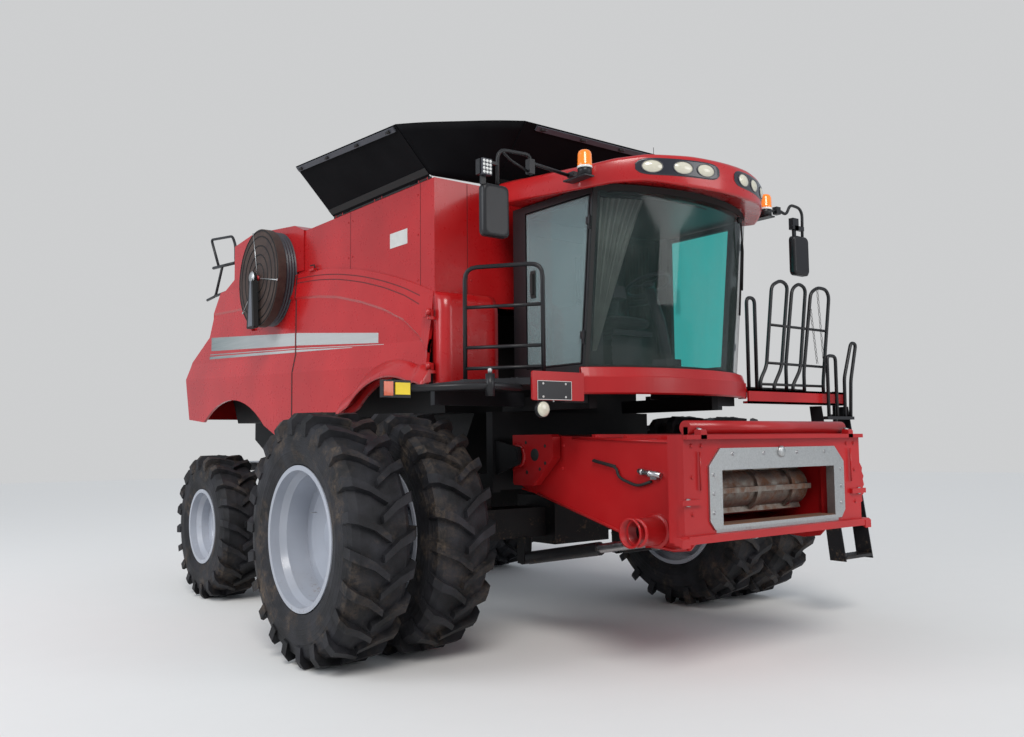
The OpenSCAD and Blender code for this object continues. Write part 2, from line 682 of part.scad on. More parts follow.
// Side door frame in side view, as [y, z]
door_rear = cab_rear + 180;
module cab_door_plan(inset) {
    offset(delta = -inset)
        polygon([[-door_rear, cab_floor + 8], [-cab_front + 60, cab_floor + 8],
                 [-cab_front - screen_lean + 60, cab_top - 68], [-door_rear, cab_top - 68]]);
}

module door_frame() {
    side_sheet(cab_x - 50, cab_x - 14) difference() {
        cab_door_plan(0);
        cab_door_plan(45);
    }
    on_cab_hinge() for (z = cab_knuckles) translate([0, 0, z + 36]) difference() {
        union() {
            cylinder(r = 18, h = 60, $fn = 32);
            translate([-20, 0, 0]) cube([20, 48, 60]);
            translate([-40, 34, 0]) cube([40, 13, 60]);
        }
        translate([0, 0, -10]) cylinder(r = 9 + fit_gap, h = 100, $fn = 32);
    }
}
module door_pane() side_sheet(cab_x - 13.5, cab_x - 7.5) cab_door_plan(10);

module cab_interior() from_axle() color("dimgray") {
    span([-260, -1000, cab_floor + fit_gap], [260, -560, cab_floor + 350]);
    span([-260, -1010, cab_floor + 350], [260, -540, cab_floor + 500]);
    span([-250, -620, cab_floor + 500], [250, -490, cab_floor + 1150]);
    span([-70, -1440, cab_floor + fit_gap], [70, -1320, cab_floor + 60]);
    bar([0, -1380, cab_floor + 30], [0, -1174, cab_floor + 724], 40);
    translate([0, -1170, cab_floor + 730]) rotate([20, 0, 0]) rotate_extrude() translate([190, 0]) circle(r = 16);
    translate([0, -1170, cab_floor + 730]) rotate([20, 0, 0]) span([-190, -16, -8], [190, 16, 8]);
}

module cab_apron() from_axle() color("red") difference() {
    translate([0, 0, 2085]) linear_extrude(cab_floor - 80 - 2085)
        cab_plan(cab_x + 30, 900, cab_front + 10, screen_bow);
    translate([0, 0, 2000]) linear_extrude(400)
        cab_plan(cab_x - 20, 800, cab_front - 40, screen_bow - 20);
}

// Rotary air screen on the machine's right, and its fixed suction wand
screen_centre_y = 3020;
screen_centre_z = 3520;
module screen_housing() from_axle() color("firebrick")
    translate([-wall_x, screen_centre_y, screen_centre_z]) {
        difference() {
            mirror([1, 0, 0]) axle_x(air_screen_r - 20, 0, air_screen_x - wall_x - 60);
            mirror([1, 0, 0]) axle_x(air_screen_r - 50, -10, air_screen_x - wall_x);
        }
        mirror([1, 0, 0]) axle_x(30, 0, air_screen_x - wall_x + 60);
        span([-20, -20, -520], [0, 20, 520]);
        span([-air_screen_x + wall_x - 90, -60, -560], [-air_screen_x + wall_x - 30, 60, 40]);
    }

module air_screen() from_axle() color("saddlebrown")
    translate([-air_screen_x, screen_centre_y, screen_centre_z]) difference() {
        union() {
            axle_x(air_screen_r, 0, 20);
            difference() {
                axle_x(air_screen_r, 0, 90);
                axle_x(air_screen_r - 12, -5, 100);
            }
        }
        axle_x(30 + fit_gap, -100, 200);
    }

// Straw hood, chopper box and the carrier of the spreader discs
disc_y = 5350;
disc_x = 520;
disc_z = 1480;
module straw_spreader() from_axle() color("dimgray") {
    side_sheet(-720, 720)
        polygon([[4730, 1500], [disc_y - 150, 1560], [disc_y + 250, 1750], [disc_y + 250, 2000], [5045, 2000],
                 [5015, 1960 - fit_gap], [4730, 1960 - fit_gap]]);
    both_sides() translate([disc_x, disc_y, disc_z + 20]) cylinder(r = 60, h = 180);
    both_sides() translate([disc_x, disc_y, disc_z - 40]) cylinder(r = 25, h = 80);
}

module spreader_disc() translate([disc_x, disc_y, disc_z - 30]) difference() {
    union() {
        cylinder(r = 380, h = 10);
        for (a = [0 : 90 : 270]) rotate([0, 0, a]) translate([40, -5, -110]) cube([330, 10, 112]);
        translate([0, 0, -60]) cylinder(r = 50, h = 90);
    }
    translate([0, 0, -200]) cylinder(r = 25 + fit_gap, h = 400);
}

// Turret of the unloading auger on the tank's left wall
turret_top = tube_z - tube_r - 75;
module unload_turret() from_axle() color("red") {
    translate([tube_x, turret_y, turret_top - 200]) cylinder(r = 215, h = 200);
    translate([tube_x, turret_y, turret_top - 1]) cylinder(r = 120, h = 60);
    span([wall_x + fit_gap, turret_y - 150, turret_top - 180], [tube_x - 100, turret_y + 150, turret_top - 20]);
}

module unload_tube() from_axle() color("red") {
    difference() {
        union() {
            translate([tube_x, turret_y, turret_top + 6]) cylinder(r = 215, h = 100);
            translate([tube_x, turret_y, turret_top + 6]) cylinder(r = tube_r, h = tube_z - turret_top);
            translate([tube_x, turret_y, tube_z]) sphere(r = tube_r + 8);
            translate([tube_x, turret_y, tube_z]) rotate([-90, 0, 0]) cylinder(r = tube_r, h = tube_tail - turret_y);
            translate([tube_x, tube_tail - tube_r - 200, tube_z - 60]) rotate([-150, 0, 0]) cylinder(r = tube_r + 12, h = 240);
        }
        translate([tube_x, turret_y, turret_top - 50]) cylinder(r = 121, h = 140);
    }
}

// Walkways beside the cab, with the red edge beams
module platforms() from_axle() color("black") {
    translate([0, 0, platform_z - 50]) linear_extrude(50)
        polygon([[-940, -350], [-1720, -350], [-1780, -950], [-1420, -1560], [-940, -1560]]);
    span([940, -1360, platform_z - 50], [1900, -350, platform_z]);
    span([930, -1430, platform_z - 150], [2470, -1360, platform_z - 20]);
    span([-1700, -420, platform_z - 170], [-780, -360, platform_z - 50]);
    span([780, -420, platform_z - 170], [1850, -360, platform_z - 50]);
    translate([2600, -1250, 1620]) cylinder(r = 25, h = 550);
    span([2440, -1380, platform_z - 140], [2600, -1240, platform_z - 90]);
    bar([-1450, -1300, 2090], [-2500, -1200, 2070], 30);
}

// Tubular handrails on the walkways and the engine deck
module railings() from_axle() color("black") {
    top = 3040;
    foot_a = [-1750, -900, platform_z];
    foot_b = [-1400, -1500, platform_z];
    up = [0, 0, top - platform_z];
    bent_tube([foot_a, foot_a + up - [0, 0, 60], foot_a + up + [40, -60, 0], foot_b + up + [-30, 50, 0],
               foot_b + up - [0, 0, 60], foot_b]);
    for (z = [220, 560]) bar(foot_a + [0, 0, z], foot_b + [0, 0, z], 14);
    front = -1396;
    beam_top = platform_z - 20;
    for (x = [1680, 1960])
        bent_tube([[x - 60, front, beam_top], [x - 60, front, 3180], [x + 60, front, 3180], [x + 60, front, beam_top]]);
    bent_tube([[1080, front, beam_top], [1080, front, 2900], [1500, front, 2900], [1500, front, beam_top]]);
    bar([1080, front, 2520], [1500, front, 2520], 14);
    deck = [3750, 4450];
    bent_tube([[-1480, deck[0], hood_z(deck[0])], [-1480, deck[0], 4350],
               [-1480, deck[1], 4300], [-1480, deck[1], hood_z(deck[1])]]);
}

// Entry ladder on the machine's left, swung in front of the tyres
ladder_hinge = [2600, -1250, 0];
module ladder() from_axle() color("black") {
    for (x = [2090, 2540]) side_sheet(x, x + 12)
        polygon([[-1300, 2010], [-1430, 2010], [-1640, 540], [-1470, 540]]);
    for (i = [0 : 4]) let (z = 560 + i * 300, y = -1600 + i * 44)
        span([2100, y - 40, z], [2542, y + 130, z + 30]);
    for (z = [1680, 1900]) translate([ladder_hinge[0], ladder_hinge[1], z]) difference() {
        union() {
            cylinder(r = 42, h = 40);
            translate([-58, -110, 0]) cube([50, 110, 40]);
        }
        translate([0, 0, -10]) cylinder(r = 25 + fit_gap, h = 100);
    }
    bent_tube([[2240, -1475, 1895], [2240, -1475, 3160], [2400, -1475, 3160], [2400, -1475, 1895]]);
    bent_tube([[2530, -1475, 1895], [2620, -1475, 2250], [2650, -1475, 2650], [2600, -1475, 2680], [2560, -1475, 2250]]);
    span([2100, -1495, 1880], [2552, -1430, 1910]);
}

// Mirrors on their arms, beacons and roof lamps
module mirrors_lamps() from_axle() color("black") {
    both_sides() {
        span([1060 + fit_gap, -1500, 3705], [1160, -1380, 3755]);
        translate([1112, -1440, 3750]) cylinder(r = 50, h = 150);
        span([1150, -1460, 3715], [1790, -1430, 3745]);
        span([1760, -1500, 3500], [1790, -1430, 3745]);
        span([1690, -1530, 3120], [1890, -1470, 3520]);
    }
}

// Pieces that are the same on both sides
module front_tyres_right() from_axle() color("black") right_of() front_tyre_pair();
module front_tyres_left() from_axle() color("black") front_tyre_pair();
module front_rims_right() from_axle() color("silver") right_of() front_rim_pair();
module front_rims_left() from_axle() color("silver") front_rim_pair();
module knuckle_right() from_axle() color("dimgray") right_of() knuckle();
module knuckle_left() from_axle() color("dimgray") knuckle();
module rear_tyre_right() from_axle() color("black") right_of() rear_tyre_shape();
module rear_tyre_left() from_axle() color("black") rear_tyre_shape();
module rear_rim_right() from_axle() color("silver") right_of() rear_rim_shape();
module rear_rim_left() from_axle() color("silver") rear_rim_shape();
module cab_door() from_axle() color("black") door_frame();
module cab_door_glass() from_axle() color("lightcyan") door_pane();
module exit_door() from_axle() color("black") right_of() door_frame();
module exit_door_glass() from_axle() color("lightcyan") right_of() door_pane();
module cover_right() from_axle() color("black") side_cover();
module cover_left() from_axle() color("black") right_of() side_cover();
module side_door_right() from_axle() color("firebrick") right_of() side_door();
module side_door_left() from_axle() color("firebrick") side_door();
module spreader_disc_right() from_axle() color("gray") right_of() spreader_disc();
module spreader_disc_left() from_axle() color("gray") spreader_disc();

chassis();
front_axle();
front_tyres_right();
front_tyres_left();
front_rims_right();
front_rims_left();
rear_axle();
knuckle_right();
knuckle_left();
tie_rod();
rear_tyre_right();
rear_tyre_left();
rear_rim_right();
rear_rim_left();
feeder_house();
feeder_face();
feeder_chain();
lift_barrels();
lift_rods();
cab_shell();
cab_roof();
cab_glass();
cab_door();
cab_door_glass();
exit_door();
exit_door_glass();
cab_interior();
cab_apron();
grain_tank();
engine_hood();
cover_right();
cover_left();
cover_front();
cover_rear();
corner_sheets();
side_door_right();
side_door_left();
rear_shell();
separator_body();
engine();
screen_housing();
air_screen();
straw_spreader();
spreader_disc_right();
spreader_disc_left();
unload_turret();
unload_tube();
platforms();
railings();
ladder();
mirrors_lamps();
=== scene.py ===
"""Looks of a parked combine harvester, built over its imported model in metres.
+Z is up, forward is -Y and the machine's right side is -X."""
import json
import math

import bmesh
import bpy
import numpy as np
from mathutils import Matrix

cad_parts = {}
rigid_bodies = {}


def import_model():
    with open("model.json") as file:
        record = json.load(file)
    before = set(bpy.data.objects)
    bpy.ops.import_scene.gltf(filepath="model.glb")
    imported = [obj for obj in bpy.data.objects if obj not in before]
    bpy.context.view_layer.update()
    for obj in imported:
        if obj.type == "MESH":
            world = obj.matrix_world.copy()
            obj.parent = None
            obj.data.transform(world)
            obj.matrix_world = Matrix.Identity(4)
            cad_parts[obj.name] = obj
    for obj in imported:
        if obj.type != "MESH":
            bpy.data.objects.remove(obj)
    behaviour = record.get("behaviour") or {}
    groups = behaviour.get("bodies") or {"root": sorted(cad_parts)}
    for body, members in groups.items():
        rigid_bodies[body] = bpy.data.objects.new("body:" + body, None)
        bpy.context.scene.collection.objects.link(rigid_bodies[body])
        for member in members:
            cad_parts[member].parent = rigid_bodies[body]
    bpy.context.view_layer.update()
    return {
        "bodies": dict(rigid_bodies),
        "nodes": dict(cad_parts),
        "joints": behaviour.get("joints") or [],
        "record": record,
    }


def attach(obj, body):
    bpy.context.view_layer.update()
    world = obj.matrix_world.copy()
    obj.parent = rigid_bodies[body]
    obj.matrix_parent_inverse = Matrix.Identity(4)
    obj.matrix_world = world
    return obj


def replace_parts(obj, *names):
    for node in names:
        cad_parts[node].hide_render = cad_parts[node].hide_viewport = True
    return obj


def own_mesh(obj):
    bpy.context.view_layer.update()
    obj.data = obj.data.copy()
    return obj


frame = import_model()
nodes = frame["nodes"]

# Lengths along Y are drawn from the front axle, as in the part's source
AXLE_Y = -1.9
FRONT_WHEEL_Z = 0.975
REAR_WHEEL_Y, REAR_WHEEL_Z = 3.68, 0.79
TANK_SIDE, TANK_FRONT, TANK_REAR = 1.54, -0.18, 1.70
COVER_HINGE_Z, COVER_FLARE = 3.968, math.radians(43)
AIR_SCREEN_Y, AIR_SCREEN_Z = 3.02, 3.52
CAB_FLOOR_Z, LANDING_Z = 2.30, 2.17
# Bowed fronts: half width, distance ahead of the axle at the sides, depth of the bow
WINDSCREEN = (0.92, 1.35, 0.27)
VISOR = (1.06, 1.50, 0.55)
SIDES = ((-1, "right"), (1, "left"))
COVERS = ("front", "rear", "right", "left")
# Side sheets: distance from the centre line below the crease, above it and over the brow
LOW_SIDE, MID_SIDE, HIGH_SIDE = 1.620, 1.578, 1.594
CREASE_TALL = 0.205
# Feeder, as [y, z]: centre of the gear covers' bores and of the tube stub
GEAR_BORE, TUBE_STUB = (-0.45, 1.58), (-1.95, 1.045)


# ---------------------------------------------------------------- shader maths
class Socket:
    """A shader value that takes part in Python arithmetic."""

    def __init__(self, maker, link):
        self.maker, self.link = maker, link

    def math(self, operation, *others):
        values = dict(enumerate((self,) + others))
        return self.maker.node("ShaderNodeMath", {"operation": operation}, values)

    def __add__(self, other):
        return self.math("ADD", other)

    def __sub__(self, other):
        return self.math("SUBTRACT", other)

    def __rsub__(self, other):
        return self.maker.node("ShaderNodeMath", {"operation": "SUBTRACT"}, {0: other, 1: self})

    def __mul__(self, other):
        return self.math("MULTIPLY", other)

    def __gt__(self, other):
        return self.math("GREATER_THAN", other)

    def __lt__(self, other):
        return self.math("LESS_THAN", other)

    def __abs__(self):
        return self.math("ABSOLUTE")

    __radd__ = __add__
    __rmul__ = __mul__

    def clamp(self):
        return self.maker.node("ShaderNodeClamp", {}, {"Value": self})


class Maker:
    """Adds nodes to one material."""

    def __init__(self, name):
        self.material = bpy.data.materials.new(name)
        self.material.use_nodes = True
        self.tree = self.material.node_tree
        self.shader = self.tree.nodes["Principled BSDF"]

    def put(self, socket, value):
        """Links a shader value to a socket, or sets the socket to a number or colour."""
        if isinstance(value, Socket):
            self.tree.links.new(value.link, socket)
        elif hasattr(socket.default_value, "__len__") and not hasattr(value, "__len__"):
            socket.default_value = [value] * len(socket.default_value)
        elif hasattr(value, "__len__") and len(value) == 3 and len(socket.default_value) == 4:
            socket.default_value = (*value, 1)
        else:
            socket.default_value = value

    def node(self, kind, settings=None, inputs=None, output=0):
        """Adds a node with its settings and inputs, and gives one of its outputs."""
        made = self.tree.nodes.new(kind)
        for key, value in (settings or {}).items():
            setattr(made, key, value)
        for key, value in (inputs or {}).items():
            self.put(made.inputs[key], value)
        return Socket(self, made.outputs[output])

    def place(self):
        """Object coordinates."""
        return self.node("ShaderNodeTexCoord", output=3)

    def axes(self):
        split = self.node("ShaderNodeSeparateXYZ", {}, {0: self.place()})
        return [Socket(self, split.link.node.outputs[i]) for i in range(3)]

    def facing(self, axis):
        """How far a face looks along X, Y or Z, given as 0, 1 or 2."""
        normal = self.node("ShaderNodeNewGeometry", output=1)
        return self.node("ShaderNodeSeparateXYZ", {}, {0: normal}, axis)

    def noise(self, scale, detail=4, roughness=0.55, stretch=None):
        at = self.place()
        if stretch:
            at = self.node("ShaderNodeMapping", {}, {"Vector": at, "Scale": stretch})
        return self.node("ShaderNodeTexNoise", {}, {"Vector": at, "Scale": scale, "Detail": detail,
                                                    "Roughness": roughness})

    def cells(self, scale):
        return self.node("ShaderNodeTexVoronoi", {}, {"Vector": self.place(), "Scale": scale})

    def ramp(self, value, low, high):
        """0 below low, 1 above high, a straight line between."""
        return self.node("ShaderNodeMapRange", {}, {"Value": value, "From Min": low, "From Max": high})

    def mix(self, share, one, two):
        made = self.tree.nodes.new("ShaderNodeMix")
        made.data_type = "RGBA"
        for key, value in ((0, share), (6, one), (7, two)):
            self.put(made.inputs[key], value)
        return Socket(self, made.outputs[2])

    def bump(self, height, strength, distance=0.002):
        return self.node("ShaderNodeBump", {}, {"Height": height, "Strength": strength, "Distance": distance})

    def finish(self, **values):
        """Sets the shader's inputs, named with _ for a space, and gives the material."""
        for key, value in values.items():
            self.put(self.shader.inputs[key.replace("_", " ")], value)
        return self.material


MUD = (0.19, 0.135, 0.085)
DUST = (0.33, 0.27, 0.20)


def painted(name, colour, roughness=0.32, coat=0.5, dust=0.35, mud_below=0.0, gloss=0.5):
    """Weathered paint: a faint change of tone, dust on what faces up and splashes of mud low down."""
    m = Maker(name)
    tone = m.noise(1.3, 3)
    body = m.mix(m.ramp(tone, 0.3, 0.7), [c * 0.86 for c in colour], [min(1, c * 1.1 + 0.004) for c in colour])
    up = m.facing(2)
    speck = m.noise(38, 5, 0.7)
    dusty = (m.ramp(up, 0.2, 1.0) * 0.6 + 0.12) * m.ramp(m.noise(4.5, 6, 0.65), 0.42, 0.75) * dust
    body = m.mix(dusty.clamp(), body, DUST)
    height = m.axes()[2]
    if mud_below:
        low = (1 - m.ramp(height, mud_below * 0.45, mud_below)) * m.ramp(speck + m.noise(7, 4) * 0.6, 0.90, 1.05)
        body = m.mix((low * 0.75).clamp(), body, MUD)
        dusty = dusty + low * 0.5
    rough = (dusty * 1.2 + roughness + m.noise(22, 3) * 0.08 - 0.04).clamp()
    return m.finish(Base_Color=body, Roughness=rough, Coat_Weight=(coat - dusty * 0.8).clamp(), Coat_Roughness=0.12,
                    Specular_IOR_Level=gloss,
                    Normal=m.bump(m.noise(160, 2) + m.noise(3, 2) * 1.5, 0.06, 0.003))


def steel(name, colour, roughness, rust=0.0, grain=(1, 1, 1)):
    """Bare or plated metal with fine grain and patches of rust."""
    m = Maker(name)
    fine = m.noise(90, 4, 0.6, stretch=grain)
    body = m.mix(m.ramp(fine, 0.3, 0.7), [c * 0.8 for c in colour], colour)
    patch = m.ramp(m.noise(9, 6, 0.7), 0.62 - rust * 0.3, 0.8 - rust * 0.25)
    body = m.mix((patch * min(1, rust * 2)).clamp(), body, (0.16, 0.065, 0.03))
    return m.finish(Base_Color=body, Metallic=(1 - patch * min(1, rust * 2)).clamp(),
                    Roughness=(fine * 0.2 + roughness + patch * 0.3 * min(1, rust * 2)).clamp(),
                    Normal=m.bump(fine + patch, 0.12))


def rubber_tyre(name, axle, outer):
    """Black rubber, greyed by dust, with dried mud in patches and moulded rings on the sidewalls.

    The rings follow r, the distance from the axle: r^2 = (y - axle y)^2 + (z - axle z)^2.
    """
    m = Maker(name)
    _, y, z = m.axes()
    y, z = y - axle[0], z - axle[1]
    r = (y * y + z * z).math("SQRT")
    rings = m.ramp((r * 170).math("SINE"), 0.55, 0.8) * (r < outer * 0.87) * (r > outer * 0.60)
    base = m.mix(m.ramp(m.noise(5, 5), 0.35, 0.7), (0.006, 0.006, 0.007), (0.024, 0.024, 0.029))
    mud = m.ramp(m.noise(2.6, 7, 0.68), 0.50, 0.66) * m.ramp(m.noise(26, 5, 0.7), 0.36, 0.55)
    side = abs(m.facing(0))
    mud = (mud * (m.ramp(side, 0.35, 0.85) * 0.45 + 0.5)).clamp()
    body = m.mix(mud, base, m.mix(m.ramp(m.noise(12, 4), 0.3, 0.7), (0.050, 0.036, 0.026), (0.150, 0.112, 0.082)))
    return m.finish(Base_Color=body, Roughness=(mud * 0.25 + 0.62).clamp(), Specular_IOR_Level=0.3,
                    Normal=m.bump(mud * 2 + m.noise(120, 4) + rings * 1.2, 0.45, 0.004))


def tinted(name, colour, alpha, glow=0.0):
    """Tinted safety glass with a film of dust; glow is painted light: an emission in the glass's colour that stands in
    for the daylight seen through it.
    """
    m = Maker(name)
    film = m.ramp(m.noise(2.2, 6, 0.6, stretch=(1, 1, 0.35)), 0.40, 0.8)
    return m.finish(Base_Color=m.mix(film * 0.2, colour, (0.40, 0.47, 0.45)), Roughness=film * 0.08 + 0.02,
                    Alpha=film * 0.06 + alpha, Specular_IOR_Level=0.6, Emission_Color=colour, Emission_Strength=glow)


def plain(name, colour, roughness=0.5, **more):
    """A small part's finish, with only a faint change of tone."""
    m = Maker(name)
    tone = m.mix(m.ramp(m.noise(14, 4), 0.3, 0.7), [c * 0.88 for c in colour], colour)
    return m.finish(Base_Color=tone, Roughness=roughness, **more)


def cloth(name, colour):
    """Woven fabric: a fine check of raised threads and a soft change of tone."""
    m = Maker(name)
    threads = m.cells(420)
    body = m.mix(m.ramp(m.noise(9, 4), 0.3, 0.7), [c * 0.75 for c in colour], colour)
    return m.finish(Base_Color=body, Roughness=0.92, Specular_IOR_Level=0.2, Sheen_Weight=0.2,
                    Normal=m.bump(threads, 0.35, 0.001))


def stripe_paint():
    """Silver that darkens to a blue grey towards the rear, with brushed streaks."""
    m = Maker("silver_stripe")
    rear = m.ramp(m.axes()[1], 1.2, 3.2)
    body = m.mix(rear, (0.56, 0.57, 0.56), (0.16, 0.22, 0.22))
    streak = m.ramp(m.noise(30, 3, stretch=(1, 0.05, 2)), 0.4, 0.7)
    return m.finish(Base_Color=m.mix(streak * 0.25, body, (0.70, 0.70, 0.69)), Roughness=0.30, Metallic=0.35)


RED = (0.45, 0.007, 0.009)
red = painted("red_paint", RED, roughness=0.28, coat=0.35, dust=0.13, mud_below=1.5, gloss=0.4)
red_low = painted("red_feeder", (0.40, 0.006, 0.008), roughness=0.34, coat=0.2, dust=0.09, mud_below=1.1, gloss=0.35)
black = painted("black_paint", (0.008, 0.008, 0.010), roughness=0.42, coat=0.08, dust=0.07, mud_below=1.2, gloss=0.35)
sheet = painted("black_cover", (0.003, 0.003, 0.004), roughness=0.7, coat=0.0, dust=0.0, gloss=0.06)
rubber = plain("black_rubber", (0.010, 0.010, 0.010), 0.7)
lens = plain("lamp_lens", (0.70, 0.67, 0.54), 0.16, Coat_Weight=0.8, Coat_Roughness=0.05)
white_lens = plain("clear_lens", (0.85, 0.86, 0.84), 0.12, Coat_Weight=0.6)
amber = plain("amber_lens", (0.95, 0.23, 0.008), 0.18, Coat_Weight=0.8, Emission_Color=(0.9, 0.2, 0.0),
              Emission_Strength=0.25)
yellow = plain("yellow_reflector", (0.85, 0.62, 0.01), 0.3)
blank_plate = plain("blank_plate", (0.62, 0.62, 0.60), 0.45)
mirror_glass = plain("mirror_glass", (0.80, 0.82, 0.84), 0.03, Metallic=1.0)
rust = steel("rusty_lip", (0.20, 0.13, 0.10), 0.5, rust=0.9)
curtain_cloth = cloth("curtain_cloth", (0.50, 0.55, 0.51))
seat_cloth = cloth("seat_cloth", (0.060, 0.062, 0.066))
stripe = stripe_paint()
dark = painted("dark_steel", (0.008, 0.008, 0.009), roughness=0.55, coat=0.0, dust=0.10, mud_below=1.3, gloss=0.2)
rim_paint = painted("rim_paint", (0.36, 0.385, 0.44), roughness=0.34, coat=0.3, dust=0.16, mud_below=0.9)
plastic = painted("dark_plastic", (0.030, 0.031, 0.042), roughness=0.45, coat=0.05, dust=0.2)
galvanised = steel("galvanised", (0.52, 0.53, 0.53), 0.34, rust=0.12)
bright = steel("bright_steel", (0.55, 0.55, 0.56), 0.22, rust=0.1)
chain_steel = steel("chain_steel", (0.30, 0.27, 0.24), 0.4, rust=0.65)
tyre = rubber_tyre("tyre_rubber", (AXLE_Y, FRONT_WHEEL_Z), FRONT_WHEEL_Z)
rear_tyre = rubber_tyre("rear_tyre_rubber", (AXLE_Y + REAR_WHEEL_Y, REAR_WHEEL_Z), REAR_WHEEL_Z)
windscreen = tinted("window_glass", (0.008, 0.022, 0.018), 0.34)
# Painted light: over its tint, the door glass's pale blue grey paints in the brightness of the sky that the glass
# reflects and lets through.
door_glass = tinted("door_glass", (0.34, 0.46, 0.47), 0.34)
# Painted light: the far door's glass glows in its cyan tint to stand in for the bright daylight behind it.
far_glass_painted_glow = tinted("left_door_glass_painted_glow", (0.05, 0.62, 0.59), 0.76, 0.9)


def screen_material():
    """Perforated brown sheet, dusty between its holes: the round holes, scattered over it, are painted near black as
    the shade seen through them.
    """
    m = Maker("screen_brown")
    holes = m.ramp(m.cells(62), 0.012, 0.008)
    dust = m.ramp(m.noise(6, 6, 0.7), 0.35, 0.75)
    body = m.mix(dust * 0.30, (0.028, 0.014, 0.011), (0.17, 0.115, 0.085))
    # Painted shade: the holes are coloured near black for the dark inside seen through them.
    body = m.mix((holes * 0.9).clamp(), body, (0.006, 0.005, 0.005))
    return m.finish(Base_Color=body, Roughness=dust * 0.25 + 0.55, Normal=m.bump(1 - holes, 0.5, 0.004))


screen_brown = screen_material()

FINISHES = {
    red: ["cab_roof", "cab_apron", "unload_turret", "unload_tube", "grain_tank", "engine_hood", "side_door_right",
          "side_door_left", "rear_shell", "screen_housing"],
    red_low: ["feeder_house", "feeder_face"],
    tyre: ["front_tyres_right", "front_tyres_left"],
    rear_tyre: ["rear_tyre_right", "rear_tyre_left"],
    rim_paint: ["front_rims_right", "front_rims_left", "rear_rim_right", "rear_rim_left"],
    dark: ["chassis", "separator_body", "front_axle", "rear_axle", "knuckle_right", "knuckle_left", "tie_rod",
           "straw_spreader", "engine"],
    chain_steel: ["feeder_chain"],
    black: ["cab_shell", "cab_door", "exit_door", "lift_barrels", "platforms", "railings", "ladder", "mirrors_lamps"],
    sheet: ["cover_right", "cover_left", "cover_front", "cover_rear", "corner_sheets"],
    bright: ["lift_rods", "spreader_disc_right", "spreader_disc_left"],
    windscreen: ["cab_glass"],
    door_glass: ["exit_door_glass"],
    far_glass_painted_glow: ["cab_door_glass"],
    plastic: ["cab_interior"],
    screen_brown: ["air_screen"],
}
for material, names in FINISHES.items():
    for name in names:
        for place in nodes[name].material_slots:
            place.material = material


# ---------------------------------------------------------------- camera and light
def sight():
    """The camera that the photograph was fitted with: yaw, pitch and roll turn its axes."""
    yaw, pitch, roll = math.radians(-37.865), math.radians(4.390), math.radians(-0.582)
    ahead = np.array([-math.sin(yaw) * math.cos(pitch), math.cos(yaw) * math.cos(pitch), math.sin(pitch)])
    right = np.array([math.cos(yaw), math.sin(yaw), 0.0])
    up = np.cross(right, ahead)
    right, up = math.cos(roll) * right + math.sin(roll) * up, math.cos(roll) * up - math.sin(roll) * right
    turn = Matrix(np.column_stack([right, up, -ahead]).tolist()).to_4x4()
    return Matrix.Translation((-5.784, -6.690 + AXLE_Y, 1.715)) @ turn


data = bpy.data.cameras.new("camera")
data.sensor_fit, data.sensor_width, data.lens = "HORIZONTAL", 36, 927.8 / 1024 * 36
camera = bpy.data.objects.new("camera", data)
camera.matrix_world = sight()
bpy.context.scene.collection.objects.link(camera)
bpy.context.scene.camera = camera
bpy.context.scene.view_settings.view_transform = "Standard"


def studio(lit, shown, strength):
    """A world that lights objects with one colour, while the camera and clear glass see another."""
    world = bpy.data.worlds.new("studio")
    bpy.context.scene.world = world
    world.use_nodes = True
    nodes, links = world.node_tree.nodes, world.node_tree.links
    path, seen, mix = (nodes.new("ShaderNode" + kind) for kind in ("LightPath", "Math", "Mix"))
    seen.operation, mix.data_type = "MAXIMUM", "RGBA"
    links.new(path.outputs["Is Camera Ray"], seen.inputs[0])
    links.new(path.outputs["Is Transmission Ray"], seen.inputs[1])
    links.new(seen.outputs[0], mix.inputs[0])
    mix.inputs[6].default_value, mix.inputs[7].default_value = (*lit, 1), (*shown, 1)
    links.new(mix.outputs[2], nodes["Background"].inputs["Color"])
    nodes["Background"].inputs["Strength"].default_value = strength


studio((0.60, 0.65, 0.72), (0.93, 0.94, 0.95), 0.66)


def lamp(name, kind, energy, at, aim, size, colour=(1, 1, 1)):
    """A disc of light or a sun at a place, aimed at a point; size is the disc's width or the sun's angle."""
    light = bpy.data.lights.new(name, kind)
    light.energy, light.color = energy, colour
    if kind == "AREA":
        light.shape, light.size = "DISK", size
    else:
        light.angle = size
    thing = bpy.data.objects.new(name, light)
    away = (np.array(at, float) - np.array(aim, float))
    away /= np.linalg.norm(away)
    side = np.cross((0, 0, 1), away)
    side /= np.linalg.norm(side)
    turn = Matrix(np.column_stack([side, np.cross(away, side), away]).tolist()).to_4x4()
    thing.matrix_world = Matrix.Translation(at) @ turn
    bpy.context.scene.collection.objects.link(thing)


lamp("key", "SUN", 1.7, (-6, -9, 11), (0, 0, 1), math.radians(25), (1, 0.97, 0.93))
lamp("side", "AREA", 800, (-14, 2, 8), (0, 0, 2.5), 9, (0.93, 0.96, 1))
lamp("front", "AREA", 330, (5, -14, 6), (0, -2, 2), 7)


# ---------------------------------------------------------------- making meshes
X, Y, Z = np.eye(3)


def unit(v):
    return np.asarray(v, float) / np.linalg.norm(v)


